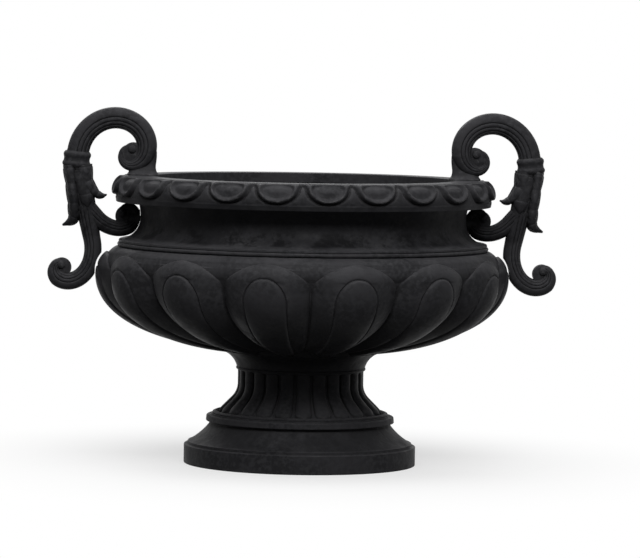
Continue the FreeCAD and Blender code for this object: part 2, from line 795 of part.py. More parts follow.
def handle_shape():
    """Scroll handle on the +X side: reeded scroll, leg and branch from a collar with two
    leaves, webs behind the volutes, a foot on the ledge and a flat against the neck pad."""
    reach, level = size("collar_reach"), size("collar_level")
    scroll = scroll_path((reach, level), 99, size("scroll_straight"), size("scroll_radius"),
                         SCROLL_CURVE, SCROLL_TURN)
    leg = scroll_path((reach, level), 258.5, size("leg_straight"), size("leg_radius"),
                      LEG_CURVE, LEG_TURN)
    branch_start = (reach - size("branch_inset"), level - size("branch_drop"))
    branch = scroll_path(branch_start, 224, size("branch_straight"), size("branch_radius"),
                         BRANCH_CURVE, BRANCH_TURN)
    bars = [reeded_bar(scroll, SCROLL_TAPER), reeded_bar(leg, LEG_TAPER),
            reeded_bar(branch, BRANCH_TAPER)]

    grip, width, relief = size("grip_thickness"), size("grip_width"), size("collar_relief")
    rings = []
    for share, swell in ((-0.5, 0.2), (-0.42, 1.0), (-0.3, 1.0), (-0.2, 0.35), (0.2, 0.35),
                         (0.3, 1.0), (0.42, 1.0), (0.5, 0.2)):
        rings.append(reeded_section(reach, level + share * size("collar_height"), 90,
                                    grip + 2 * relief * swell, width + 2 * relief * swell, 0.6))
    collar = Part.makeLoft(rings, True, True)

    drop = size("leaf_drop") / 94.0
    outer_leaf = leaf([
        (reach + 5, level - 8, 270, 24, 33), (reach + 4, level - 27 * drop, 267, 20, 37),
        (reach + 1, level - 48 * drop, 267, 18, 38), (reach, level - 68 * drop, 272, 16, 33),
        (reach + 3, level - 84 * drop, 290, 12, 26), (reach + 10, level - 97 * drop, 315, 8, 16),
        (reach + 20, level - 104 * drop, 325, 3, 5)])
    inner_leaf = leaf([
        (reach - 7, level - 8, 270, 24, 33), (reach - 12, level - 28 * drop, 258, 22, 36),
        (reach - 20, level - 44 * drop, 232, 17, 32), (reach - 31, level - 54 * drop, 206, 12, 24),
        (reach - 41, level - 56 * drop, 184, 7, 13), (reach - 49, level - 54.5 * drop, 165, 2, 3)])

    eye, web = size("eye_radius"), size("web_width")
    discs = []
    for path, alias in ((scroll, "scroll_disc_radius"), (leg, "leg_disc_radius"),
                        (branch, "branch_disc_radius")):
        x, z = path[-1][0], path[-1][1]
        discs.append(disc(x, z, size(alias), web * 0.8))
        discs.append(disc(x, z, eye, web))

    lowest = min(p[1] for p in scroll[-22:])
    foot_x = scroll[-1][0] - 18
    top = size("ledge_top")
    foot = leaf([(foot_x, top - 4, 90, size("handle_foot_width"), width * 0.95),
                 (foot_x, top + 4, 90, size("handle_foot_width") * 0.93, width * 0.85),
                 (foot_x, max(top + 6, lowest), 90, size("handle_foot_width") * 0.8, width * 0.7)])
    shape = bars[0]
    for piece in bars[1:] + [collar, outer_leaf, inner_leaf, foot] + discs:
        shape = shape.fuse(piece)

    neck = size("neck_radius") + size("pad_height")
    z = neck_bolt_level()
    pad_radius = size("bolt_washer_radius") + size("bolt_edge")
    seat = Part.makeCylinder(pad_radius, size("pad_depth"), Vector(neck, 0, z), Vector(1, 0, 0))
    shape = shape.fuse(seat)
    reach_in = size("neck_radius") / 6
    clear = Part.makeCylinder(pad_radius + size("fit_gap"), reach_in,
                              Vector(neck - reach_in, 0, z), Vector(1, 0, 0))
    shape = shape.cut(clear)
    shape = shape.cut(handle_envelope().cut(clear.fuse(seat)))
    tapped = size("bolt_radius") + size("thread_gap")
    shape = shape.cut(Part.makeCylinder(tapped, size("bolt_depth") + 1, Vector(neck, 0, z),
                                        Vector(1, 0, 0)))
    shape = shape.cut(cylinder(tapped, top, top + size("bolt_depth") + 1, ledge_bolt_radius()))
    return shape


# ---------------------------------------------------------------- fasteners

def bound(kind, name, **formulas):
    """A primitive whose properties follow formulas of the sheets; __ stands for a dot."""
    item = doc.addObject(kind, name)
    for target, text in formulas.items():
        item.setExpression(target.replace("__", "."), formula(text))
    return item


def bored(name, blank, bore, height, bottom):
    """A blank with a bore right through it."""
    hole = bound("Part::Cylinder", name + "_bore", Radius=bore, Height=height,
                 Placement__Base__z=bottom)
    item = doc.addObject("Part::Cut", name)
    item.Base = blank
    item.Tool = hole
    item.Label = name
    return item


def washer(name, radius, bore, height, bottom="0"):
    blank = bound("Part::Cylinder", name + "_blank", Radius=radius, Height=height,
                  Placement__Base__z=bottom)
    return bored(name, blank, bore, height, bottom)


def nut(name, width, bore, height, bottom="0"):
    blank = bound("Part::Prism", name + "_blank", Circumradius=width + " / 1.7321", Height=height,
                  Placement__Base__z=bottom)
    blank.Polygon = 6
    return bored(name, blank, bore, height, bottom)


def bolt(name, length):
    """Hexagon bolt with its head above the origin and its shank below."""
    head = bound("Part::Prism", name + "_head", Circumradius="bolt_head_width / 1.7321",
                 Height="bolt_head_height")
    head.Polygon = 6
    shank = bound("Part::Cylinder", name + "_shank", Radius="bolt_radius", Height=length,
                  Placement__Base__z="0 - ( " + length + " )")
    item = doc.addObject("Part::Fuse", name)
    item.Base = head
    item.Tool = shank
    return item


def group(name, pattern, places):
    """Copies of one fastener at their places, as one sub-part of separate solids."""
    doc.recompute()
    copies = []
    for place in places:
        copy = pattern.Shape.copy()
        copy.Placement = place.multiply(copy.Placement)
        copies.append(copy)
    return casting(name, Part.makeCompound(copies))


def make_tie_rod():
    """Rod through base, stem and bowl with a plate washer and a nut at each end."""
    rod = bound("Part::Cylinder", "tie_rod", Radius="rod_radius", Height="rod_top - rod_base",
                Placement__Base__z="rod_base")
    rod.Label = "tie_rod"
    bore = "rod_radius + thread_gap"
    under = "base_top - wall - rod_washer_height"
    return [
        rod,
        washer("tie_rod_top_washer", "rod_washer_radius", bore, "rod_washer_height", "floor_top"),
        nut("tie_rod_top_nut", "rod_nut_width", bore, "rod_nut_height",
            "floor_top + rod_washer_height"),
        washer("tie_rod_bottom_washer", "rod_washer_radius", bore, "rod_washer_height", under),
        nut("tie_rod_bottom_nut", "rod_nut_width", bore, "rod_nut_height",
            under + " - rod_nut_height"),
    ]


def make_bolts():
    """Bolts, washers and nuts of the bowl's joint and of the two handles."""
    bore = "bolt_radius + thread_gap"
    plain_washer = washer("bolt_washer", "bolt_washer_radius", bore, "bolt_washer_height")
    rim_nut = nut("bolt_nut", "bolt_head_width", bore, "bolt_nut_height")
    rim_bolt = bolt("rim_bolt", "bolt_washer_height + wall * 2 + bolt_nut_height + thread_end")
    top_bolt = bolt("handle_top_bolt", "bolt_washer_height + wall + bolt_depth")
    neck_bolt = bolt("handle_neck_bolt",
                     "bolt_washer_height + wall + pad_height * 2 + bolt_depth")
    thin, wall, joint = size("bolt_washer_height"), size("wall"), size("bowl_top")
    upright = Rotation()

    def on_circle(z):
        return [Placement(Vector(x, y, z), upright)
                for x, y in ring_of(size("rim_bolt_count"), size("flange_bolt_circle"), 30)]

    def under_ledge(z):
        flipped = Rotation(Vector(1, 0, 0), 180)
        return [Placement(Vector(side * ledge_bolt_radius(), 0, z), flipped) for side in (1, -1)]

    def in_neck(radius):
        return [Placement(Vector(side * radius, 0, neck_bolt_level()),
                          Rotation(Vector(0, 1, 0), -90 * side)) for side in (1, -1)]
    ledge_underside = size("ledge_top") - wall
    neck_inside = size("neck_radius") - wall - size("pad_height")
    return [
        group("rim_bolts", rim_bolt, on_circle(joint + wall + thin)),
        group("rim_bolt_washers", plain_washer, on_circle(joint + wall)),
        group("rim_nuts", rim_nut, on_circle(joint - wall - size("bolt_nut_height"))),
        group("handle_top_bolts", top_bolt, under_ledge(ledge_underside - thin)),
        group("handle_top_washers", plain_washer, under_ledge(ledge_underside)),
        group("handle_neck_bolts", neck_bolt, in_neck(neck_inside - thin)),
        group("handle_neck_washers", plain_washer, in_neck(neck_inside)),
    ]


# ---------------------------------------------------------------- build

def make_handles():
    shape = handle_shape()
    turned = Placement(Vector(), Rotation(Vector(0, 0, 1), 180))
    return [casting("handle_right", shape), casting("handle_left", shape, turned)]


def write_pieces(pieces):
    """Check every object and every piece, then write one file for each piece."""
    doc.recompute()
    for item in doc.Objects:
        if "Invalid" in item.State or "Error" in item.State:
            raise RuntimeError(item.Name + " failed: " + str(item.State))
    for piece in pieces:
        if piece.Shape.isNull() or not piece.Shape.isValid():
            raise RuntimeError(piece.Label + " has no valid shape")
    os.makedirs("parts", exist_ok=True)
    for piece in pieces:
        piece.Shape.exportStep("parts/" + piece.Label + ".step")
        print(piece.Label, len(piece.Shape.Solids), round(piece.Shape.Volume))


castings = [make_base(), make_stem(), make_bowl(), make_rim()] + make_handles()
write_pieces(castings + make_tie_rod() + make_bolts())
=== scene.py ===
import bpy
import bmesh
import math
import numpy as np
from mathutils import Matrix, Vector


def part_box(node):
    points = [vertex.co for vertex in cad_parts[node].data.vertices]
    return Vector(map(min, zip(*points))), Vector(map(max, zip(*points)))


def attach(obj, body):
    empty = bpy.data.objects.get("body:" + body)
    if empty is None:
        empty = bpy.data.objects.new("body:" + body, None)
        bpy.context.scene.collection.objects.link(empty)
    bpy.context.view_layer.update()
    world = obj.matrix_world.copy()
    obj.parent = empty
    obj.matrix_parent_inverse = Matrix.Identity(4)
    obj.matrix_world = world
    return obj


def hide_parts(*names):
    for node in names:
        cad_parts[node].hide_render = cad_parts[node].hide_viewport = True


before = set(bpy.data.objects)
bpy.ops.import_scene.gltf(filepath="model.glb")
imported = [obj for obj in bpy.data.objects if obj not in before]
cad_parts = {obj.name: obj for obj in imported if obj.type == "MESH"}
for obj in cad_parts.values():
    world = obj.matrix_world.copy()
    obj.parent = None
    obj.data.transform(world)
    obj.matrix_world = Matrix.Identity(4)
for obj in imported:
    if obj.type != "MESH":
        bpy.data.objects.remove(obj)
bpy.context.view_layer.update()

# Mesh code works in millimetres and turns its points into metres at the end.
MM = 0.001


def top_of(node):
    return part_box(node)[1].z / MM


def reach_of(node):
    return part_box(node)[1].x / MM


# Heights and radii that come from the frame.
PLINTH_RADIUS = reach_of("base")
BASE_TOP = top_of("base")
STEM_TOP = top_of("stem")
BOWL_TOP = top_of("bowl")
LEDGE_TOP = top_of("rim")
BELLY_RADIUS = reach_of("bowl")

# What the castings share.
WALL = 9.0
GAP = 0.3
EDGE_ROUND = 1.3
GUARD = 0.7

# How much the paint mirrors.
PAINT_SHEEN = 0.035

# Base.
PLINTH_HEIGHT = 29.0
PLINTH_WALL = 13.5
STEP_INSET = 6.0
STEP_HEIGHT = 5.0
COVE_INSET = 30.0
COVE_HEIGHT = 30.0
COVE_CURVE = 52.0
TORUS_HEIGHT = 11.0
TORUS_RELIEF = 1.5
SEAT_INSET = 6.0

# Stem.
SHAFT_RADIUS = 98.0
SHAFT_HEIGHT = 21.5
FLARE_CURVE = 30.0
FLARE_LENGTH = 31.5
FOOT_RIM = 3.0
TONGUES = 24
TONGUE_RELIEF = 5.2
TONGUE_FILL = 0.86
TONGUE_ARCH = 13.0

# Bowl.
BOSS_HEIGHT = 29.5
BOSS_BEAD = 4.5
BOSS_FLARE = 20.0
BELLY_RISE = 123.0
BELLY_DEPTH = 129.0
BELLY_POWER = 2.38
SHOULDER_CURVE = 36.0
FLANGE_RADIUS = 232.5
LOBES = 14
LOBE_RELIEF = 24.0
LOBE_FILL = 0.975
LOBE_ARCH_TOP = 20.0
LOBE_ARCH = 58.0
LOBE_STEP = 2.6
LEAF_FILL = 0.47
LEAF_ARCH_TOP = 50.0
LEAF_ARCH = 44.0
LEAF_SWELL = 2.6
LEAF_LINE = 2.0
LINE_WIDTH = 1.5

# Neck and lip.
LIP_RADIUS = 299.5
BEAD_HEIGHT = 11.0
BEAD_INSET = 11.5
BEAD_RELIEF = 4.0
NECK_HEIGHT = 58.0
NECK_INSET = 47.0
NECK_WAIST = 33.5
SOFFIT_FLARE = 3.5
FASCIA_INSET = 9.0
FASCIA_HEIGHT = 8.0
LEDGE_INSET = 26.0
MOUTH_RADIUS = 232.5
MOUTH_SKIRT = 16.0
EGGS = 24
EGG_SHIFT = 4.7
EGG_HALF_WIDTH = 30.0
EGG_HALF_LENGTH = 20.5
EGG_MIDDLE = 0.42
EGG_FLARE = 0.22
EGG_BODY = 3.4
EGG_BODY_EDGE = 2.6
EGG_RING = 2.0
EGG_RING_INSET = 2.0
EGG_RING_WIDTH = 1.9
EGG_DISH = 3.0
EGG_DISH_INSET = 3.2
EGG_DISH_EDGE = 3.6
EGG_MOUND = 1.2
EGG_MOUND_INSET = 9.0
EGG_MOUND_EDGE = 8.0
EGG_GROOVE = 3.0
EGG_GROOVE_OUTSET = 2.5
EGG_GROOVE_WIDTH = 1.8

# Handles.
GRIP_THICKNESS = 39.0
GRIP_WIDTH = 35.0
COLLAR_HEIGHT = 23.0
COLLAR_LEVEL = LEDGE_TOP + 23.5
NECK_BOLT_LEVEL = 377.05
COLLAR_REACH = LIP_RADIUS + 52.5
EYE_RADIUS = 6.2


# ---------------------------------------------------------------- outlines

def bow(start, middle, end, steps):
    """Points of the arc through three (radius, z) points, without the start."""
    (ax, ay), (bx, by), (cx, cy) = start, middle, end
    d = 2 * (ax * (by - cy) + bx * (cy - ay) + cx * (ay - by))
    ux = ((ax ** 2 + ay ** 2) * (by - cy) + (bx ** 2 + by ** 2) * (cy - ay)
          + (cx ** 2 + cy ** 2) * (ay - by)) / d
    uy = ((ax ** 2 + ay ** 2) * (cx - bx) + (bx ** 2 + by ** 2) * (ax - cx)
          + (cx ** 2 + cy ** 2) * (bx - ax)) / d
    radius = math.hypot(ax - ux, ay - uy)
    first = math.atan2(ay - uy, ax - ux)
    via = (math.atan2(by - uy, bx - ux) - first) % (2 * math.pi)
    last = (math.atan2(cy - uy, cx - ux) - first) % (2 * math.pi)
    if via > last:
        last -= 2 * math.pi
    return [(ux + radius * math.cos(first + last * k / steps),
             uy + radius * math.sin(first + last * k / steps)) for k in range(1, steps + 1)]


def softened(points, radius=EDGE_ROUND, closed=False):
    """A polyline whose sharp corners are rounded, with a guard point beside each so that
    flat stretches stay flat under smooth shading."""
    result = [] if closed else [points[0]]
    count = len(points)
    span = range(count) if closed else range(1, count - 1)
    for k in span:
        here = np.array(points[k], float)
        before = np.array(points[k - 1], float) - here
        after = np.array(points[(k + 1) % count], float) - here
        lb, la = np.linalg.norm(before), np.linalg.norm(after)
        if lb < 1e-6 or la < 1e-6:
            continue
        cosine = float(np.dot(before, after) / (lb * la))
        turn = math.pi - math.acos(max(-1.0, min(1.0, cosine)))
        if turn < math.radians(24):
            result.append(tuple(here))
            continue
        cut = min(radius * math.tan(turn / 2), 0.4 * lb, 0.4 * la)
        guard = min(GUARD, 0.05 * min(lb, la) + 0.05)
        a, b = here + before / lb * cut, here + after / la * cut
        result.append(tuple(a + before / lb * guard))
        for share in (0.0, 0.25, 0.5, 0.75, 1.0):
            mixed = (1 - share) ** 2 * a + 2 * share * (1 - share) * here + share ** 2 * b
            result.append(tuple(mixed))
        result.append(tuple(b + after / la * guard))
    if not closed:
        result.append(points[-1])
    return result


def arch_distance(x, run, half_width, arch_top, arch):
    """Distance in mm from a round-topped arch's outline, less than 0 inside it."""
    up = np.maximum(arch_top + arch - run, 0.0)
    level = np.sqrt((x / half_width) ** 2 + (up / arch) ** 2)
    slope = np.sqrt((x / half_width ** 2) ** 2 + (up / arch ** 2) ** 2) / np.maximum(level, 1e-6)
    return (level - 1) / np.maximum(slope, 1 / (half_width + 60))


def arch_share(run, arch_top, arch):
    """Half-width of an arch at a run down from the shoulder, as a share of its widest."""
    rest = np.clip((run - arch_top) / arch, 0.0, 1.0)
    return np.sqrt(1 - (1 - rest) ** 2)


def smooth_step(value):
    value = np.clip(value, 0.0, 1.0)
    return value * value * (3 - 2 * value)


# ---------------------------------------------------------------- castings made of equal sectors

def new_piece(name, points, faces):
    mesh = bpy.data.meshes.new(name)
    mesh.from_pydata([tuple(p) for p in points], [], faces)
    piece = bpy.data.objects.new(name, mesh)
    bpy.context.scene.collection.objects.link(piece)
    return piece


def sector_piece(name, blocks):
    """One sector of a casting. A block is (radius, z, angle) with a row for each point of
    the closed outline and a column for each line down the sector."""
    radius = np.vstack([b[0] for b in blocks])
    z = np.vstack([b[1] for b in blocks])
    angle = np.vstack([b[2] for b in blocks])
    rows, columns = radius.shape
    points = np.stack([radius * np.cos(angle), radius * np.sin(angle), z], axis=-1) * MM
    faces = []
    for row in range(rows):
        after = (row + 1) % rows
        for column in range(columns - 1):
            faces.append((row * columns + column, after * columns + column,
                          after * columns + column + 1, row * columns + column + 1))
    return new_piece(name, points.reshape(-1, 3), faces)


def plain_rows(points, angles):
    """Rows of a plain turned stretch of outline."""
    outline = np.array(points, float)
    shape = (len(outline), len(angles))
    return (np.repeat(outline[:, :1], shape[1], axis=1),
            np.repeat(outline[:, 1:], shape[1], axis=1),
            np.repeat(np.array(angles)[None, :], shape[0], axis=0))


def fewer(angles, every):
    """As many angles, with only every few of them different: the weld joins the rest, so that
    plain rows take few faces."""
    last = len(angles) - 1
    kept = np.minimum(np.round(np.arange(last + 1) / every) * every, last).astype(int)
    return angles[kept]


def outline_normals(outline):
    """Unit (radial, z) directions out of the casting along an outline listed downwards."""
    along = np.gradient(outline, axis=0)
    along /= np.linalg.norm(along, axis=1)[:, None]
    return np.stack([-along[:, 1], along[:, 0]], axis=1)


def relief_rows(outline, angles, depth):
    """Rows of an outline pushed in by a depth for each row and column."""
    normal = outline_normals(outline)
    radius = outline[:, :1] - normal[:, :1] * depth
    z = outline[:, 1:] - normal[:, 1:] * depth
    return radius, z, angles


def ring_tree():
    """Geometry nodes that turn one sector into the whole casting."""
    tree = bpy.data.node_groups.new("ring_of_sectors", "GeometryNodeTree")
    for label, kind in (("Sector", "Geometry"), ("Count", "Int"), ("First Angle", "Float"),
                        ("Weld", "Float"), ("Finish", "Material")):
        tree.interface.new_socket(label, in_out="INPUT", socket_type="NodeSocket" + kind)
    tree.interface.new_socket("Casting", in_out="OUTPUT", socket_type="NodeSocketGeometry")
    node, link = tree.nodes.new, tree.links.new
    given, result = node("NodeGroupInput"), node("NodeGroupOutput")
    points = node("GeometryNodePoints")
    link(given.outputs["Count"], points.inputs["Count"])
    step = node("ShaderNodeMath")
    step.operation = "DIVIDE"
    step.inputs[0].default_value = 2 * math.pi
    link(given.outputs["Count"], step.inputs[1])
    index = node("GeometryNodeInputIndex")
    turn = node("ShaderNodeMath")
    turn.operation = "MULTIPLY_ADD"
    link(index.outputs[0], turn.inputs[0])
    link(step.outputs[0], turn.inputs[1])
    link(given.outputs["First Angle"], turn.inputs[2])
    euler = node("ShaderNodeCombineXYZ")
    link(turn.outputs[0], euler.inputs["Z"])
    rotation = node("FunctionNodeEulerToRotation")
    link(euler.outputs[0], rotation.inputs[0])
    copies = node("GeometryNodeInstanceOnPoints")
    link(points.outputs[0], copies.inputs["Points"])
    link(given.outputs["Sector"], copies.inputs["Instance"])
    link(rotation.outputs[0], copies.inputs["Rotation"])
    real = node("GeometryNodeRealizeInstances")
    link(copies.outputs[0], real.inputs[0])
    weld = node("GeometryNodeMergeByDistance")
    link(real.outputs[0], weld.inputs["Geometry"])
    link(given.outputs["Weld"], weld.inputs["Distance"])
    finish = node("GeometryNodeSetMaterial")
    link(weld.outputs[0], finish.inputs["Geometry"])
    link(given.outputs["Finish"], finish.inputs["Material"])
    link(finish.outputs[0], result.inputs[0])
    return tree


RING = ring_tree()
WELD = 0.00002


def set_input(modifier, tree, name, value):
    for socket in tree.interface.items_tree:
        if socket.item_type == "SOCKET" and socket.in_out == "INPUT" and socket.name == name:
            modifier[socket.identifier] = value


def tidy_mesh(piece):
    """Weld doubles, close what is open by mistake and turn every face outwards."""
    work = bmesh.new()
    work.from_mesh(piece.data)
    bmesh.ops.remove_doubles(work, verts=work.verts, dist=1e-6)
    bmesh.ops.dissolve_degenerate(work, edges=work.edges, dist=1e-7)
    bmesh.ops.recalc_face_normals(work, faces=work.faces)
    work.to_mesh(piece.data)
    work.free()
    piece.data.shade_smooth()
    piece.data.set_sharp_from_angle(angle=math.radians(42))


def whole_casting(piece, count, first_angle, material):
    """Ring of sectors, turned into one plain mesh."""
    modifier = piece.modifiers.new("ring", "NODES")
    modifier.node_group = RING
    set_input(modifier, RING, "Count", count)
    set_input(modifier, RING, "First Angle", first_angle)
    set_input(modifier, RING, "Weld", WELD)
    set_input(modifier, RING, "Finish", material)
    graph = bpy.context.evaluated_depsgraph_get()
    mesh = bpy.data.meshes.new_from_object(piece.evaluated_get(graph), depsgraph=graph)
    piece.modifiers.clear()
    piece.data = mesh
    mesh.name = piece.name
    tidy_mesh(piece)
    return piece


def finish_piece(piece, node):
    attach(piece, "root")
    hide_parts(node)


# ---------------------------------------------------------------- base

def build_base(material):
    step = PLINTH_RADIUS - STEP_INSET
    cove = step - COVE_INSET
    torus_base = PLINTH_HEIGHT + STEP_HEIGHT + COVE_HEIGHT
    torus_top = torus_base + TORUS_HEIGHT
    seat = cove - SEAT_INSET
    bore = 6.5
    cove_start, cove_end = (step - 2, PLINTH_HEIGHT + STEP_HEIGHT), (cove, torus_base)
    chord = np.array(cove_end) - np.array(cove_start)
    across = np.array([-chord[1], chord[0]]) / np.linalg.norm(chord)
    sag = COVE_CURVE - math.sqrt(COVE_CURVE ** 2 - (np.linalg.norm(chord) / 2) ** 2)
    middle = (np.array(cove_start) + np.array(cove_end)) / 2 + across * sag
    outline = [(bore, BASE_TOP), (seat, BASE_TOP), (seat, torus_top), (cove, torus_top)]
    outline += [(cove + TORUS_RELIEF, torus_top - 1.2),
                (cove + TORUS_RELIEF + 0.8, torus_base + 1.8),
                (cove - 4.2, torus_base + 0.4)]
    outline += bow((cove_end[0] - 4.4, cove_end[1] - 1), tuple(middle), cove_start, 14)
    outline += [(step, PLINTH_HEIGHT + STEP_HEIGHT), (step, PLINTH_HEIGHT),
                (PLINTH_RADIUS, PLINTH_HEIGHT), (PLINTH_RADIUS, 0.0),
                (PLINTH_RADIUS - PLINTH_WALL, 0.0),
                (PLINTH_RADIUS - PLINTH_WALL, PLINTH_HEIGHT - WALL),
                (step - WALL, PLINTH_HEIGHT - WALL), (seat - WALL, torus_base - WALL),
                (seat - WALL, BASE_TOP - WALL), (bore, BASE_TOP - WALL)]
    angles = np.radians(np.linspace(-7.5, 7.5, 9))
    piece = sector_piece("base_casting", [plain_rows(softened(outline, closed=True), angles)])
    return whole_casting(piece, 24, 0.0, material)


# ---------------------------------------------------------------- stem

def build_stem(material):
    """Raised tongues with narrow grooves, flaring to rounded ends over a plain foot."""
    bend = STEM_TOP - SHAFT_HEIGHT
    line = [(SHAFT_RADIUS, STEM_TOP - d) for d in (0.6, 1.4, 3, 6, 10, 14, 18)]
    for angle in range(0, 46, 5):
        turn = math.radians(angle)
        line.append((SHAFT_RADIUS + FLARE_CURVE * (1 - math.cos(turn)),
                     bend - FLARE_CURVE * math.sin(turn)))
    start = line[-1]
    flare_first = len(line) - 1
    slant = math.sqrt(0.5)
    run = [0.0]
    for along in (4, 8, 12, 16, 19, 21, 23, 25, 26.5, 28, 29.3, 30.5, 31.5, 32.3, 33.2, 34.2):
        line.append((start[0] + along * slant, start[1] - along * slant))
        run.append(along)
    outline = np.array(line)
    half = math.pi / TONGUES
    from_end = np.full(len(line), 100.0)
    from_end[flare_first:] = FLARE_LENGTH - np.array(run)
    shares = np.array([0, .25, .5, .68, .8, .88, .94, .98, 1.0, 1.03, 1.1, 1 / TONGUE_FILL])
    shares = np.concatenate([-shares[:0:-1], shares]) * TONGUE_FILL
    angles = np.repeat(shares[None, :] * half, len(line), axis=0)
    widths = outline[:, :1] * half * TONGUE_FILL
    x = outline[:, :1] * angles
    up = np.maximum(TONGUE_ARCH - from_end[:, None], 0.0)
    level = np.sqrt((x / widths) ** 2 + (up / TONGUE_ARCH) ** 2)
    distance = (level - 1) * np.minimum(widths, TONGUE_ARCH)
    crown = np.clip(level, 0, 1)
    body = 1 - np.sqrt(np.clip(1 - crown ** 3.0, 0, 1))
    depth = TONGUE_RELIEF * np.where(distance < 0, body, 1.0)
    top_fade = smooth_step((STEM_TOP - outline[:, 1:] - 0.3) / 2.2)
    depth = depth * top_fade + 0.4 * top_fade
    rows = relief_rows(outline, angles, depth)
    foot_z, foot_radius = BASE_TOP, PLINTH_RADIUS - STEP_INSET - COVE_INSET - SEAT_INSET - 2
    column = angles[-1]
    sunk = TONGUE_RELIEF * slant
    below = softened([(outline[-1][0] - sunk, outline[-1][1] - sunk),
                      (foot_radius - 4.5, foot_z + FOOT_RIM + 1.6),
                      (foot_radius, foot_z + FOOT_RIM),
                      (foot_radius, foot_z), (foot_radius - 18, foot_z),
                      (start[0] - TONGUE_RELIEF - WALL, start[1] - WALL * 0.4),
                      (SHAFT_RADIUS - TONGUE_RELIEF - WALL, bend),
                      (SHAFT_RADIUS - 14.2, STEM_TOP - WALL),
                      (6.5, STEM_TOP - WALL), (6.5, STEM_TOP), (SHAFT_RADIUS, STEM_TOP)], 1.0)
    piece = sector_piece("stem_casting", [rows, plain_rows(below[1:], column)])
    return whole_casting(piece, TONGUES, 0.0, material)


# ---------------------------------------------------------------- bowl

def belly_line():
    """Crest line of the lobes from the shoulder's top down: outline points and their run."""
    level = STEM_TOP + BOSS_HEIGHT + BELLY_RISE
    turn = np.radians(np.linspace(90, 0, 80))
    centre = BELLY_RADIUS - SHOULDER_CURVE
    shoulder = np.stack([centre + SHOULDER_CURVE * np.cos(turn),
                         level + SHOULDER_CURVE * np.sin(turn)], 1)
    end = math.asin((BELLY_RISE / BELLY_DEPTH) ** (BELLY_POWER / 2))
    turn = np.linspace(0, 1, 1500)[1:] ** 1.6 * end
    belly = np.stack([BELLY_RADIUS * np.cos(turn) ** (2 / BELLY_POWER),
                      level - BELLY_DEPTH * np.sin(turn) ** (2 / BELLY_POWER)], 1)
    line = np.vstack([shoulder, belly])
    run = np.concatenate([[0], np.cumsum(np.linalg.norm(np.diff(line, axis=0), axis=1))])
    return line, run


def points_at(run, runs, line):
    """Points of a line at the given runs along it."""
    return np.stack([np.interp(run, runs, line[:, 0]), np.interp(run, runs, line[:, 1])], 1)


def lobe_columns(run, radius):
    """Angles of the lines down one lobe: they follow the arches, so that the incised line and
    the lobe's edge fall on them."""
    half = math.pi / LOBES
    width = radius * half
    lobe = np.maximum(LOBE_FILL * arch_share(run, LOBE_ARCH_TOP, LOBE_ARCH), 0.46)
    leaf = np.maximum(LEAF_FILL * arch_share(run, LEAF_ARCH_TOP, LEAF_ARCH), 0.24)
    line = LINE_WIDTH / width
    edge = np.minimum(1.6 / width, 0.4 * (1 - lobe))
    half_columns = [np.zeros_like(run)]
    for share in (0.2, 0.4, 0.6, 0.76, 0.88):
        half_columns.append(leaf * share)
    for shift in (-1.4, -0.7, 0.0, 0.7, 1.4):
        half_columns.append(leaf + line * shift)
    for share in (0.25, 0.5, 0.75):
        half_columns.append(leaf + line * 1.4 + (lobe - edge * 2 - leaf - line * 1.4) * share)
    for shift in (-2.0, -1.0, 0.0, 1.0):
        half_columns.append(lobe + edge * shift)
    half_columns.append((lobe + edge + 1) / 2)
    half_columns.append(np.ones_like(run))
    right = np.stack(half_columns, axis=1)
    return np.concatenate([-right[:, :0:-1], right], axis=1) * half


def lobe_depth(x, run, radius):
    """Depth under the crest line: the round lobe, its step over the spandrels, and the leaf
    inside its incised line."""
    width = radius * math.pi / LOBES
    slim = radius / BELLY_RADIUS
    rise = np.clip((run - LOBE_ARCH_TOP + 3) / LOBE_ARCH, 0, 1)
    groove = (LOBE_RELIEF - LOBE_STEP) * rise ** 0.8 * slim ** 0.9
    lobe_width = LOBE_FILL * width * np.maximum(arch_share(run, LOBE_ARCH_TOP, LOBE_ARCH), 0.05)
    outside = arch_distance(x, run, LOBE_FILL * width, LOBE_ARCH_TOP, LOBE_ARCH)
    inside = arch_distance(x, run, LEAF_FILL * width, LEAF_ARCH_TOP, LEAF_ARCH)
    begin = smooth_step(run / LOBE_ARCH_TOP)
    scale = slim ** 0.6
    depth = groove * np.minimum(1.0, (x / lobe_width) ** 2)
    depth = depth + LOBE_STEP * scale * begin * smooth_step((outside + 1.6) / 3.2)
    leaf = 1 - np.exp(np.minimum(inside, 0.0) / (7.0 * scale))
    depth = depth + LEAF_SWELL * scale * begin * (1 - leaf)
    depth = depth + LEAF_LINE * scale * np.exp(-(inside / LINE_WIDTH) ** 2)
    return depth


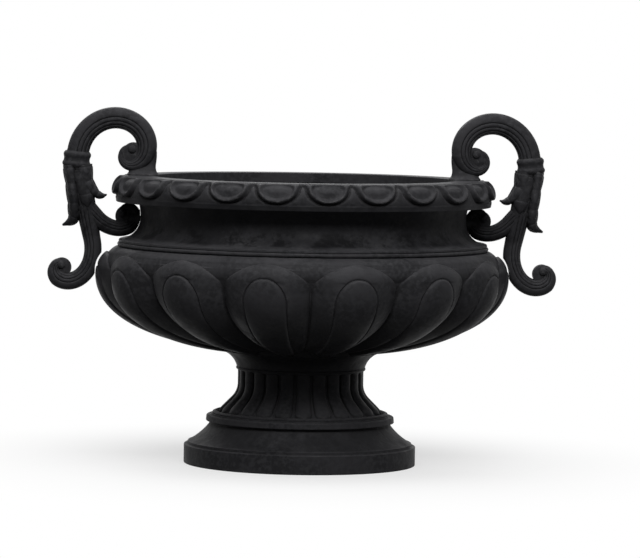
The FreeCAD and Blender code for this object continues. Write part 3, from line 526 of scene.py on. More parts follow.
def build_bowl(material):
    line, runs = belly_line()
    kept = line[:, 0] > SHAFT_RADIUS + BOSS_FLARE
    line, runs = line[kept], runs[kept]
    stops = [(0, 18, 3.0), (18, 30, 1.0), (30, 48, 2.0), (48, 60, 1.0), (60, 100, 2.2),
             (100, runs[-1], 3.4)]
    run = [np.arange(first, last - 0.3 * step, step) for first, last, step in stops]
    run = np.concatenate(run + [[runs[-1]]])
    outline = points_at(run, runs, line)
    radius, down = outline[:, :1], run[:, None]
    angles = lobe_columns(run, outline[:, 0])
    x = radius * angles
    outer = relief_rows(outline, angles, lobe_depth(x, down, radius))

    inner_run = np.linspace(6, runs[-1] - 6, 26)[::-1]
    inside = points_at(inner_run, runs, line)
    width = inside[:, :1] * math.pi / LOBES
    inner_angles = np.repeat(angles[60][None, :], len(inner_run), axis=0)
    rise = np.clip((inner_run[:, None] - LOBE_ARCH_TOP) / LOBE_ARCH, 0, 1)
    slim = inside[:, :1] / BELLY_RADIUS
    hollow = LOBE_RELIEF * rise ** 0.8 * slim ** 0.9
    share = np.minimum(1.0, np.abs(inside[:, :1] * inner_angles) / (LOBE_FILL * width))
    normal = -outline_normals(inside)
    depth = WALL + hollow * share ** 2
    inner = (inside[:, :1] - normal[:, :1] * depth, inside[:, 1:] - normal[:, 1:] * depth,
             inner_angles)

    joint = STEM_TOP + BOSS_HEIGHT
    bead = SHAFT_RADIUS + 1.6
    boss = [(outline[-1][0] - 1.5, outline[-1][1] - 0.4)]
    boss += bow(boss[0], (SHAFT_RADIUS + BOSS_FLARE * 0.42, (STEM_TOP + joint) / 2 + 3),
                (bead, STEM_TOP + BOSS_BEAD), 14)
    boss += bow(boss[-1], (bead + 1.1, STEM_TOP + BOSS_BEAD / 2), (bead - 1, STEM_TOP), 8)
    pocket = SHAFT_RADIUS - WALL * 2
    floor = joint + WALL
    boss += [(pocket, STEM_TOP), (pocket, joint - 1), (6.5, joint - 1), (6.5, floor),
             (line[-1][0] - 14, floor)]
    top = [(outline[0][0] - 30, BOWL_TOP - WALL), (FLANGE_RADIUS, BOWL_TOP - WALL),
           (FLANGE_RADIUS, BOWL_TOP), (outline[0][0], BOWL_TOP)]
    piece = sector_piece("bowl_casting", [
        outer, plain_rows(softened(boss, 0.8), fewer(angles[-1], 4)), inner,
        plain_rows(softened(top, 1.0)[:-1], fewer(angles[0], 4))])
    whole_casting(piece, LOBES, 0.0, material)
    return piece


# ---------------------------------------------------------------- neck and lip

def neck_line(offset, steps):
    """Hollow arc of the neck from its waist down to its foot."""
    centre_r = LIP_RADIUS - BEAD_INSET - BEAD_RELIEF
    centre_z = BOWL_TOP + BEAD_HEIGHT + NECK_WAIST
    across = centre_r - (LIP_RADIUS - NECK_INSET) + offset
    down = NECK_WAIST + offset
    foot = BOWL_TOP + (WALL if offset else BEAD_HEIGHT)
    line = []
    for k in range(steps + 1):
        share = math.sin(math.pi / 2 * k / steps)
        z = centre_z - (centre_z - foot) * share
        rest = max(0.0, 1 - ((centre_z - z) / down) ** 2)
        line.append((centre_r - across * math.sqrt(rest), z))
    return line


def ellipse_depth(x, down, half_width, half_length):
    """Distance in mm inside an ellipse's outline, less than 0 outside it."""
    level = np.sqrt((x / half_width) ** 2 + (down / half_length) ** 2)
    slope = np.sqrt((x / half_width ** 2) ** 2 + (down / half_length ** 2) ** 2)
    return (1 - level) / np.maximum(slope / np.maximum(level, 1e-6), 1 / 45)


def egg_height(x, along, length):
    """Height of the border over its bed: U-shaped eggs whose sides flare to meet their
    neighbours at the ledge, each with a round ring about a dished middle, and a deep groove
    round them."""
    middle = length * EGG_MIDDLE
    down = along - middle
    flare = 1 + EGG_FLARE * np.clip(-down / middle, 0, 1) ** 1.5
    body = ellipse_depth(x / flare, np.maximum(down, 0.0), EGG_HALF_WIDTH, EGG_HALF_LENGTH)
    reach = np.where(down < 0, middle - 1.0, EGG_HALF_LENGTH - 1.0)
    ring = ellipse_depth(x, down, EGG_HALF_WIDTH - 1.5, reach)
    height = EGG_BODY * smooth_step((body + 1.0) / EGG_BODY_EDGE)
    height = height + EGG_RING * np.exp(-((ring - EGG_RING_INSET) / EGG_RING_WIDTH) ** 2)
    height = height - EGG_DISH * smooth_step((ring - EGG_DISH_INSET) / EGG_DISH_EDGE)
    height = height + EGG_MOUND * smooth_step((ring - EGG_MOUND_INSET) / EGG_MOUND_EDGE)
    return height - EGG_GROOVE * np.exp(-((body + EGG_GROOVE_OUTSET) / EGG_GROOVE_WIDTH) ** 2)


def build_rim(material):
    neck = LIP_RADIUS - NECK_INSET
    lip_base = BOWL_TOP + BEAD_HEIGHT + NECK_HEIGHT
    fascia = LIP_RADIUS - FASCIA_INSET
    fascia_top = lip_base + FASCIA_HEIGHT
    ledge = LIP_RADIUS - LEDGE_INSET
    bead = LIP_RADIUS - BEAD_INSET
    half = math.pi / EGGS

    swell = (LIP_RADIUS - 7.2, fascia_top + 0.36 * (LEDGE_TOP - fascia_top))
    ovolo = [(ledge, LEDGE_TOP - 1.0)]
    ovolo += bow(ovolo[0], swell, (fascia + 0.4, fascia_top + 1), 36)
    ovolo = np.array(ovolo)
    along = np.concatenate([[0], np.cumsum(np.linalg.norm(np.diff(ovolo, axis=0), axis=1))])
    shares = np.linspace(-1, 1, 61)
    angles = np.repeat(shares[None, :] * half, len(ovolo), axis=0)
    height = egg_height(ovolo[:, :1] * angles, along[:, None], along[-1])
    height = height * smooth_step(along / 2.0)[:, None]
    height = height * smooth_step((along[-1] - along) / 0.8)[:, None]
    border = relief_rows(ovolo, angles, -height)
    border = (border[0], np.minimum(border[1], LEDGE_TOP - 0.9), border[2])

    column = angles[0]
    lower = [(fascia + 0.4, fascia_top + 1), (fascia + 1.0, fascia_top - 1.0), (fascia, lip_base),
             (fascia - WALL * 0.8, lip_base), (fascia - WALL, fascia_top),
             (swell[0] - WALL, swell[1]), (ledge - WALL * 0.6, LEDGE_TOP - WALL),
             (neck + WALL, LEDGE_TOP - WALL), (neck + SOFFIT_FLARE, lip_base)]
    waist = (neck, BOWL_TOP + BEAD_HEIGHT + NECK_WAIST)
    lower += bow(lower[-1], (neck + 0.8, lip_base - 12), waist, 6)
    lower += neck_line(0.0, 16)[1:]
    foot = lower[-1]
    lower += [(bead - 2.6, foot[1] - 0.6), (bead - 2.2, foot[1] - 3.6),
              (bead - 3.4, foot[1] - 4.4)]
    lower += bow(lower[-1], (bead - 0.2, BOWL_TOP + 3.2), (bead - 3, BOWL_TOP), 8)
    lower += [(FLANGE_RADIUS, BOWL_TOP), (FLANGE_RADIUS, BOWL_TOP + WALL)]
    lower += neck_line(WALL, 10)[::-1]
    lower += [(neck + SOFFIT_FLARE - WALL, lip_base), (neck, LEDGE_TOP - WALL),
              (MOUTH_RADIUS + 5, LEDGE_TOP - WALL), (MOUTH_RADIUS + 4, LEDGE_TOP - MOUTH_SKIRT),
              (MOUTH_RADIUS, LEDGE_TOP - MOUTH_SKIRT), (MOUTH_RADIUS, LEDGE_TOP),
              (ledge - 1.4, LEDGE_TOP), (ledge - 0.4, LEDGE_TOP - 0.3)]
    below = plain_rows(softened(lower, 1.0)[1:], fewer(column, 6))
    piece = sector_piece("rim_casting", [border, below])
    return whole_casting(piece, EGGS, math.radians(EGG_SHIFT), material)


# ---------------------------------------------------------------- handles

SCROLL = {"start": (COLLAR_REACH, COLLAR_LEVEL), "heading": 99, "straight": 14, "radius": 64,
          "turn": 90, "curve": (1.0, 0.83, 0.55, 0.235, 0.23, 0.16, 0.09),
          "taper": (1.0, 0.88, 0.85, 0.8, 0.42, 0.24, 0.19, 0.16)}
LEG = {"start": (COLLAR_REACH, COLLAR_LEVEL), "heading": 258.5, "straight": 127, "radius": 75,
       "turn": 72, "curve": (1.0, 0.453, 0.247, 0.16, 0.09, 0.06),
       "taper": (0.97, 0.69, 0.69, 0.69, 0.42, 0.3, 0.22)}
BRANCH = {"start": (COLLAR_REACH - 9, COLLAR_LEVEL - 68), "heading": 224, "straight": 34,
          "radius": 60, "turn": -72, "curve": (1.0, 0.4, 0.24, 0.2, 0.16),
          "taper": (0.8, 0.66, 0.6, 0.36, 0.3, 0.22)}
# Discs that fill the volutes, (x, z, radius, half width), and the eyes in them.
VOLUTE_WEBS = ((265.0, 479.0, 16.0, 6.5), (373.0, 300.0, 15.0, 5.5), (274.5, 380.6, 17.0, 6.0))
VOLUTE_EYES = ((266.5, 484.5, 9.5), (374.0, 304.0, 8.0), (279.5, 385.6, 9.0))
REED_EDGES = (0.1, -0.3, -0.64, -0.94)
REED_DEPTH = 2.0


def scroll_line(scroll):
    """Centre line of a scroll: arrays of x, z, heading and share of the grip's thickness."""
    x, z = scroll["start"]
    heading, turn, curve = scroll["heading"], scroll["turn"], scroll["curve"]
    stations = [(x, z, heading, 0.0)]
    steps = max(4, int(scroll["straight"] / 3))
    for k in range(steps):
        x += scroll["straight"] / steps * math.cos(math.radians(heading))
        z += scroll["straight"] / steps * math.sin(math.radians(heading))
        stations.append((x, z, heading, (k + 1) / steps))
    parts = 24
    for key in range(len(curve) - 1):
        for part in range(parts):
            share = (part + 0.5) / parts
            bend = scroll["radius"] * (curve[key] + (curve[key + 1] - curve[key]) * share)
            chord = 2 * bend * math.sin(math.radians(abs(turn) / parts / 2))
            heading += turn / parts / 2
            x += chord * math.cos(math.radians(heading))
            z += chord * math.sin(math.radians(heading))
            heading += turn / parts / 2
            stations.append((x, z, heading, 1 + key + (part + 1) / parts))
    line = np.array(stations)
    share = np.interp(line[:, 3], np.arange(len(scroll["taper"])), scroll["taper"])
    return line[:, 0], line[:, 1], line[:, 2], share


def reeded_outline(outer_side):
    """Half outline of the bar's section, from the outer edge of the bend to the inner one, as
    (across, side, reed depth) for a bar of unit half thickness and half width."""
    stops = [1.0, 0.985, 0.95, 0.88, 0.78, 0.65, 0.5, 0.36, 0.26, 0.18, 0.13]
    for high, low in zip(REED_EDGES[:-1], REED_EDGES[1:]):
        for share in (0.0, 0.08, 0.22, 0.4, 0.6, 0.78, 0.92):
            stops.append(high + (low - high) * share)
    stops += [-0.94, -0.965, -0.985, -1.0]
    rows = []
    for a in stops:
        side = max(0.0, 1 - abs(a) ** 2.5) ** 0.42
        depth = 0.0
        for high, low in zip(REED_EDGES[:-1], REED_EDGES[1:]):
            if low <= a <= high:
                u = 2 * (a - low) / (high - low) - 1
                depth = 1 - math.sqrt(max(0.0, 1 - u * u))
        if a > REED_EDGES[0]:
            depth = math.exp(-(a - REED_EDGES[0]) / 0.045)
        rows.append((a * outer_side, side, depth))
    return rows


def tube(rings):
    """Closed tube through rings of points, its two ends capped."""
    rings = [np.array(r, float) for r in rings]
    count = len(rings[0])
    points = list(np.vstack(rings))
    faces = []
    for row in range(len(rings) - 1):
        for k in range(count):
            after = (k + 1) % count
            faces.append((row * count + k, row * count + after,
                          (row + 1) * count + after, (row + 1) * count + k))
    for row, end in ((0, rings[0]), (len(rings) - 1, rings[-1])):
        centre = len(points)
        points.append(end.mean(axis=0))
        for k in range(count):
            faces.append((row * count + k, row * count + (k + 1) % count, centre))
    return points, faces


def section_ring(x, z, heading, outline, thickness, width, reed):
    """Ring of a bar's section, square to its path."""
    turn = math.radians(heading)
    ring = []
    both = [(a, s, d, 1) for a, s, d in outline] + [(a, s, d, -1) for a, s, d in outline[-2:0:-1]]
    for a, side, depth, sign in both:
        across = a * thickness / 2
        out = sign * max(0.0, side * width / 2 - depth * reed)
        ring.append((x - math.sin(turn) * across, out, z + math.cos(turn) * across))
    return ring


def reeded_bar(scroll):
    outer_side = -1 if scroll["turn"] > 0 else 1
    outline = reeded_outline(outer_side)
    rings = []
    for x, z, heading, share in zip(*scroll_line(scroll)):
        reed = REED_DEPTH * min(1.0, share * 1.15)
        rings.append(section_ring(x, z, heading, outline, GRIP_THICKNESS * share,
                                  GRIP_WIDTH * share ** 0.6, reed))
    return tube(rings)


def around(steps, first_power=1.0, second_power=1.0):
    """(cosine, sine) pairs round a closed ring; a power below 1 squares its corners."""
    for turn in np.linspace(0, 2 * math.pi, steps + 1)[:-1]:
        cosine, sine = math.cos(turn), math.sin(turn)
        yield (math.copysign(abs(cosine) ** first_power, cosine),
               math.copysign(abs(sine) ** second_power, sine))


# Halves of a dome: share of the radius and of the dome's rise.
DOME = ((0.02, 1.0), (0.35, 0.93), (0.65, 0.72), (0.88, 0.38), (1.0, 0.0))


def button(x, z, radius, depth, dome):
    """Round boss right through a volute, with a domed face on both sides."""
    rings = []
    for face, half in ((1, DOME), (-1, DOME[::-1])):
        for share, rise in half:
            y = face * (depth + dome * rise)
            rings.append([(x + radius * share * cosine, y, z + radius * share * sine)
                          for cosine, sine in around(32)])
    return tube(rings)


# Collar from bottom to top: share of its height and growth over the bar.
COLLAR_PROFILE = (
    (-0.54, -0.6), (-0.5, 0.2), (-0.46, 1.1), (-0.4, 2.0), (-0.32, 2.6), (-0.24, 2.4),
    (-0.17, 1.6), (-0.12, 1.0), (-0.04, 0.7), (0.06, 0.7), (0.12, 0.9), (0.18, 1.4),
    (0.26, 1.9), (0.34, 2.0), (0.42, 1.5), (0.47, 0.7), (0.5, 0.0), (0.54, -0.6))


def collar():
    """Two low rounded ridges with a plain band between them, round the grip."""
    lean = math.radians(SCROLL["heading"] - 90)
    rings = []
    for share, grow in COLLAR_PROFILE:
        ring = []
        for cosine, sine in around(56, 0.85, 0.85):
            x = (GRIP_THICKNESS / 2 + grow) * cosine
            z = share * COLLAR_HEIGHT
            ring.append((COLLAR_REACH + x * math.cos(lean) - z * math.sin(lean) * 0.6,
                         (GRIP_WIDTH / 2 + grow) * sine,
                         COLLAR_LEVEL + z + x * math.sin(lean) * 0.5))
        rings.append(ring)
    return tube(rings)


# Leaves below the collar: middle of the section (x, z), heading, thickness and width.
OUTER_LEAF = ((363.4, 459, 262, 17, 39.5), (361.6, 444, 262, 17, 41), (359.0, 426, 262, 16.5, 42),
              (356.8, 408, 264, 16.5, 41), (355.2, 392, 268, 16, 38), (355.0, 380, 282, 16, 34),
              (359.6, 371.0, 315, 11, 24), (373.0, 365.2, 340, 2.4, 5))
INNER_LEAF = ((341.5, 459, 262, 24, 38.5), (340.6, 446, 259, 24, 40), (337.8, 433, 252, 22, 39),
              (330.2, 421.5, 236, 17, 34), (319.5, 413.6, 209, 11, 25), (311.5, 411.4, 184, 6, 15),
              (304.9, 413.6, 156, 1.8, 4))
SHEATH = ((346.5, 452, 258.5, 30, 38.0), (343.5, 436, 258.5, 30, 38.6),
          (340.0, 420, 258.5, 28, 38.6), (337.0, 407, 258.5, 24, 37.6),
          (334.8, 397, 258.5, 16, 34.0), (333.4, 389, 258.5, 4, 22.0))


def leaf(stations, lobes):
    """Acanthus leaf wrapped round one side of the bar: a broad soft box in section, with a
    midrib, fluted leaflets and a scalloped edge."""
    table = np.array(stations, float)
    keys = np.arange(len(table))
    fine = np.linspace(0, len(table) - 1, 84)
    columns = [smooth_values(keys, table[:, k], fine) for k in range(5)]
    across_shares = np.array([0, .05, .1, .18, .28, .4, .52, .64, .75, .85, .92, .97, 1.0])
    across_shares = np.concatenate([-across_shares[:0:-1], across_shares])
    rings = []
    for n, (x, z, heading, thickness, width) in enumerate(zip(*columns)):
        along = n / (len(fine) - 1)
        phase = (along * lobes) % 1.0
        scallop = math.sin(math.pi * phase ** 0.7) ** 0.6 if 0.05 < along < 0.93 else 0.5
        turn = math.radians(heading)
        direction = np.array([-math.sin(turn), 0.0, math.cos(turn)])
        centre = np.array([x, 0.0, z])
        ring = []
        for side in (1, -1):
            shares = across_shares if side > 0 else across_shares[-2:0:-1]
            for v in shares:
                body = (1 - abs(v) ** 3.4) ** 0.5
                vein = math.exp(-(v / 0.06) ** 2)
                flute = (along * lobes - 0.7 * abs(v)) % 1.0
                flute = math.exp(-(min(flute, 1 - flute) / 0.12) ** 2) * min(1.0, abs(v) * 2.0)
                relief = min(2.2, thickness * 0.14) * (flute - 0.7 * vein) * body
                rise = side * (thickness / 2 * body - relief + (scallop - 0.5) * 1.6 * body)
                y = v * width / 2 * (0.93 + 0.1 * scallop)
                ring.append(centre + direction * rise + np.array([0, y, 0]))
        rings.append(ring)
    return tube(rings)


def smooth_values(keys, values, fine):
    """Values between keys on a smooth curve through all of them."""
    slopes = np.gradient(values, keys)
    low = np.clip(fine.astype(int), 0, len(keys) - 2)
    t = fine - low
    a, b, sa, sb = values[low], values[low + 1], slopes[low], slopes[low + 1]
    return ((2 * t ** 3 - 3 * t ** 2 + 1) * a + (t ** 3 - 2 * t ** 2 + t) * sa
            + (3 * t ** 2 - 2 * t ** 3) * b + (t ** 3 - t ** 2) * sb)


# Foot from the ledge up: rise, reach of its inner and outer edge, and half width.
FOOT_PROFILE = (
    (0, 224.5, 274.0, 15.5), (1.6, 224.3, 274.5, 15.8), (3.2, 225.6, 273.4, 14.6),
    (5, 227.8, 272.0, 12.6), (8, 229.2, 271.6, 10.6), (12, 229.8, 273.0, 9.2),
    (16, 229.8, 275.0, 8.2), (22, 229.0, 276.0, 7.4), (28, 228.4, 268.0, 7.2),
    (36, 228.4, 260.0, 7.0), (44, 230.0, 254.0, 6.5), (52, 234.0, 248.0, 5.0))


def foot():
    """Waisted foot that carries the scroll's outer side down to the ledge."""
    rings = []
    for rise, inner, outer, width in FOOT_PROFILE:
        rings.append([((inner + outer) / 2 + (outer - inner) / 2 * cosine, width * sine,
                       LEDGE_TOP + rise) for cosine, sine in around(48, 0.75, 0.8)])
    return tube(rings)


# Seat from the neck outwards: reach and radius.
SEAT_PROFILE = ((244.0, 14.0), (256.0, 14.0), (258.0, 13.0), (261.0, 12.0), (270.0, 11.5))


def neck_seat():
    """Round seat between the lower volute and the neck."""
    rings = []
    for x, radius in SEAT_PROFILE:
        rings.append([(x, radius * cosine, NECK_BOLT_LEVEL + radius * sine)
                      for cosine, sine in around(40)])
    return tube(rings)


def urn_reach(z):
    """Radius of the urn's outside that the handles stand clear of, at heights z."""
    level = STEM_TOP + BOSS_HEIGHT + BELLY_RISE
    shoulder = BELLY_RADIUS - SHOULDER_CURVE
    reach = np.full_like(z, BELLY_RADIUS + GAP)
    up = np.clip(z - level, 0, SHOULDER_CURVE)
    curve = shoulder + np.sqrt(np.maximum((SHOULDER_CURVE + GAP) ** 2 - up ** 2, 0))
    reach = np.where(z > level, curve, reach)
    reach = np.where(z > BOWL_TOP, LIP_RADIUS - BEAD_INSET + GAP, reach)
    line = np.array(neck_line(0.0, 24)[::-1])
    neck = np.interp(z, line[:, 1], line[:, 0]) + GAP + 0.5
    reach = np.where(z > BOWL_TOP + BEAD_HEIGHT + GAP, neck, reach)
    lip_base = BOWL_TOP + BEAD_HEIGHT + NECK_HEIGHT
    reach = np.where(z > lip_base - GAP, LIP_RADIUS + GAP, reach)
    return np.where(z > LEDGE_TOP - 0.01, 0.0, reach)


def build_handle(name, side, material):
    parts = [reeded_bar(scroll) for scroll in (SCROLL, LEG, BRANCH)] + [collar()]
    parts += [leaf(*pair) for pair in ((OUTER_LEAF, 4), (INNER_LEAF, 3), (SHEATH, 2))]
    for x, z, radius, half_width in VOLUTE_WEBS:
        parts.append(button(x, z, radius, half_width, 1.6))
    for x, z, half_width in VOLUTE_EYES:
        parts.append(button(x, z, EYE_RADIUS, half_width, 3.2))
    parts += [foot(), neck_seat()]
    points, faces = [], []
    for more_points, more_faces in parts:
        shift = len(points)
        points += [tuple(p) for p in more_points]
        faces += [tuple(i + shift for i in f) for f in more_faces]
    p = np.array(points)
    radial = np.hypot(p[:, 0], p[:, 1])
    on_ledge = (p[:, 2] < LEDGE_TOP) & (p[:, 2] > LEDGE_TOP - 9) & (radial < LIP_RADIUS - 20)
    p[:, 2] = np.where(on_ledge, LEDGE_TOP, p[:, 2])
    push = np.maximum(urn_reach(p[:, 2]) / np.maximum(radial, 1.0), 1.0)
    p[:, 0] *= push
    p[:, 1] *= push
    p[:, :2] *= side
    piece = new_piece(name, p * MM, faces)
    piece.data.materials.append(material)
    tidy_mesh(piece)
    return piece


# ---------------------------------------------------------------- materials

def effect(name, inputs, outputs):
    """Empty shader node group with named float inputs and outputs."""
    tree = bpy.data.node_groups.new(name, "ShaderNodeTree")
    for label, value in inputs:
        socket = tree.interface.new_socket(label, in_out="INPUT", socket_type="NodeSocketFloat")
        socket.default_value = value
    for label in outputs:
        tree.interface.new_socket(label, in_out="OUTPUT", socket_type="NodeSocketFloat")
    return tree, tree.nodes.new("NodeGroupInput"), tree.nodes.new("NodeGroupOutput")


def math_node(tree, operation, first, second):
    """Math node whose two inputs are sockets or numbers."""
    node = tree.nodes.new("ShaderNodeMath")
    node.operation = operation
    for slot, value in enumerate((first, second)):
        if isinstance(value, (int, float)):
            node.inputs[slot].default_value = value
        else:
            tree.links.new(value, node.inputs[slot])
    return node.outputs[0]


def noise_node(tree, scale, detail, roughness=0.5, factor=1.0):
    """Noise on object coordinates; the scale is a number or a socket."""
    place = tree.nodes.new("ShaderNodeTexCoord")
    node = tree.nodes.new("ShaderNodeTexNoise")
    tree.links.new(place.outputs["Object"], node.inputs["Vector"])
    if isinstance(scale, (int, float)):
        node.inputs["Scale"].default_value = scale
    else:
        tree.links.new(math_node(tree, "MULTIPLY", scale, factor), node.inputs["Scale"])
    node.inputs["Detail"].default_value = detail
    node.inputs["Roughness"].default_value = roughness
    return node.outputs["Fac"]


def ramp_node(tree, value, low, high, to_low=0.0, to_high=1.0):
    """Smooth rise of a value between two levels."""
    node = tree.nodes.new("ShaderNodeMapRange")
    node.interpolation_type = "SMOOTHSTEP"
    node.inputs["From Min"].default_value = low
    node.inputs["From Max"].default_value = high
    node.inputs["To Min"].default_value = to_low
    node.inputs["To Max"].default_value = to_high
    tree.links.new(value, node.inputs["Value"])
    return node.outputs[0]


def product(tree, *values):
    """Product of sockets and numbers."""
    total = values[0]
    for value in values[1:]:
        total = math_node(tree, "MULTIPLY", total, value)
    return total


def summed(tree, total, extras):
    """A value with shares of others added, each a socket or a number."""
    for value, share in extras:
        total = math_node(tree, "ADD", total, math_node(tree, "MULTIPLY", value, share))
    return total


def casting_grain():
    """Sand grain, shallow pits and slow unevenness of a casting, as a height from 0 to 1."""
    inputs = (("Scale", 700.0), ("Pits", 0.4), ("Waves", 0.5))
    tree, given, result = effect("casting_grain", inputs, ("Height", "Speckle"))
    scale = given.outputs["Scale"]
    fine = noise_node(tree, scale, 3.0, 0.62)
    coarse = noise_node(tree, scale, 2.0, 0.5, 0.28)
    pits = ramp_node(tree, noise_node(tree, scale, 1.0, 0.4, 0.16), 0.3, 0.42)
    waves = noise_node(tree, scale, 2.0, 0.5, 0.05)
    height = summed(tree, math_node(tree, "MULTIPLY", fine, 0.3),
                    ((coarse, 0.4), (pits, given.outputs["Pits"]), (waves, given.outputs["Waves"])))
    tree.links.new(height, result.inputs["Height"])
    tree.links.new(ramp_node(tree, coarse, 0.4, 0.66), result.inputs["Speckle"])
    return tree


def settled_dust_and_top_light():
    """Dust and painted top light on what faces up, broken into patches."""
    tree, given, result = effect("settled_dust_and_top_light", (("Scale", 24.0), ("Amount", 0.6)), ("Mask",))
    shape = tree.nodes.new("ShaderNodeNewGeometry")
    split = tree.nodes.new("ShaderNodeSeparateXYZ")
    tree.links.new(shape.outputs["Normal"], split.inputs[0])
    up = ramp_node(tree, split.outputs["Z"], 0.15, 0.95)
    scale = given.outputs["Scale"]
    patches = ramp_node(tree, noise_node(tree, scale, 6.0, 0.65), 0.3, 0.7)
    streaks = ramp_node(tree, noise_node(tree, scale, 3.0, 0.6, 7.0), 0.3, 0.75, 0.5, 1.0)
    mask = product(tree, up, patches, streaks, given.outputs["Amount"])
    tree.links.new(mask, result.inputs["Mask"])
    return tree


def hollow_grime_and_shade():
    """Dirt that stays in hollows and inner corners, with painted shade there: darker where ambient
    occlusion finds a hollow.
    """
    tree, given, result = effect("hollow_grime_and_shade", (("Scale", 40.0), ("Amount", 0.7)), ("Mask",))
    shade = tree.nodes.new("ShaderNodeAmbientOcclusion")
    shade.samples = 4
    shade.only_local = True
    shade.inputs["Distance"].default_value = 0.012
    hollow = ramp_node(tree, shade.outputs["AO"], 0.35, 0.85, 1.0, 0.0)
    noise = noise_node(tree, given.outputs["Scale"], 5.0, 0.6)
    patches = ramp_node(tree, noise, 0.25, 0.6, 0.35, 1.0)
    mask = product(tree, hollow, patches, given.outputs["Amount"])
    tree.links.new(mask, result.inputs["Mask"])
    return tree


def edge_wear():
    """Rubbed high edges, broken by noise."""
    tree, given, result = effect("edge_wear", (("Scale", 90.0), ("Amount", 0.5)), ("Mask",))
    shape = tree.nodes.new("ShaderNodeNewGeometry")
    edge = ramp_node(tree, shape.outputs["Pointiness"], 0.515, 0.57)
    patches = ramp_node(tree, noise_node(tree, given.outputs["Scale"], 5.0, 0.65), 0.42, 0.64)
    mask = product(tree, edge, patches, given.outputs["Amount"])
    tree.links.new(mask, result.inputs["Mask"])
    return tree


def dark_band_patches(name, low, high, fade, first, last):
    """Dark spots on a band between two heights, mostly used as painted shade; the spots are where
    the noise rises from the first level to the last."""
    tree, given, result = effect(name, (("Scale", 60.0), ("Amount", 0.7)), ("Mask",))
    place = tree.nodes.new("ShaderNodeTexCoord")
    split = tree.nodes.new("ShaderNodeSeparateXYZ")
    tree.links.new(place.outputs["Object"], split.inputs[0])
    rise = ramp_node(tree, split.outputs["Z"], low - fade, low)
    fall = ramp_node(tree, split.outputs["Z"], high, high + fade, 1.0, 0.0)
    spots = ramp_node(tree, noise_node(tree, given.outputs["Scale"], 6.0, 0.7), first, last)
    mask = product(tree, rise, fall, spots, given.outputs["Amount"])
    tree.links.new(mask, result.inputs["Mask"])
    return tree


GRAIN, DUST_AND_TOP_LIGHT, GRIME_AND_SHADE, WEAR = casting_grain(), settled_dust_and_top_light(), hollow_grime_and_shade(), edge_wear()
# Darker patches on a band at the neck's foot.
NECK_FOOT_DARKENING = dark_band_patches("neck_foot_darkening", 0.352, 0.366, 0.006, 0.47, 0.6)
# Painted shade over the neck.
NECK_SHADE = dark_band_patches("neck_painted_shade", 0.352, 0.41, 0.005, 0.22, 0.7)
# Painted shade on the boss under the bowl.
SHADE = dark_band_patches("under_bowl_painted_shade", 0.165, 0.215, 0.03, 0.1, 0.6)
# Painted shade in the base's cove.
COVE_SHADE = dark_band_patches("cove_painted_shade", 0.036, 0.062, 0.004, 0.2, 0.65)


def placed(tree, group, **values):
    """The group in a material's tree, with its own values."""
    node = tree.nodes.new("ShaderNodeGroup")
    node.node_tree = group
    for label, value in values.items():
        node.inputs[label].default_value = value
    return node


def blended(tree, mask, under, over):
    """Colour mix; under is a colour or a socket, over is a colour."""
    node = tree.nodes.new("ShaderNodeMix")
    node.data_type = "RGBA"
    tree.links.new(mask, node.inputs["Factor"])
    if isinstance(under, tuple):
        node.inputs["A"].default_value = (*under, 1)
    else:
        tree.links.new(under, node.inputs["A"])
    node.inputs["B"].default_value = (*over, 1)
    return node.outputs["Result"]


def layered(tree, colour, layers):
    """A colour with each (mask, colour) laid over it in turn."""
    for mask, over in layers:
        colour = blended(tree, mask, colour, over)
    return colour


def bumped(tree, height, distance, strength=1.0):
    node = tree.nodes.new("ShaderNodeBump")
    node.inputs["Strength"].default_value = strength
    node.inputs["Distance"].default_value = distance
    tree.links.new(height, node.inputs["Height"])
    return node.outputs["Normal"]


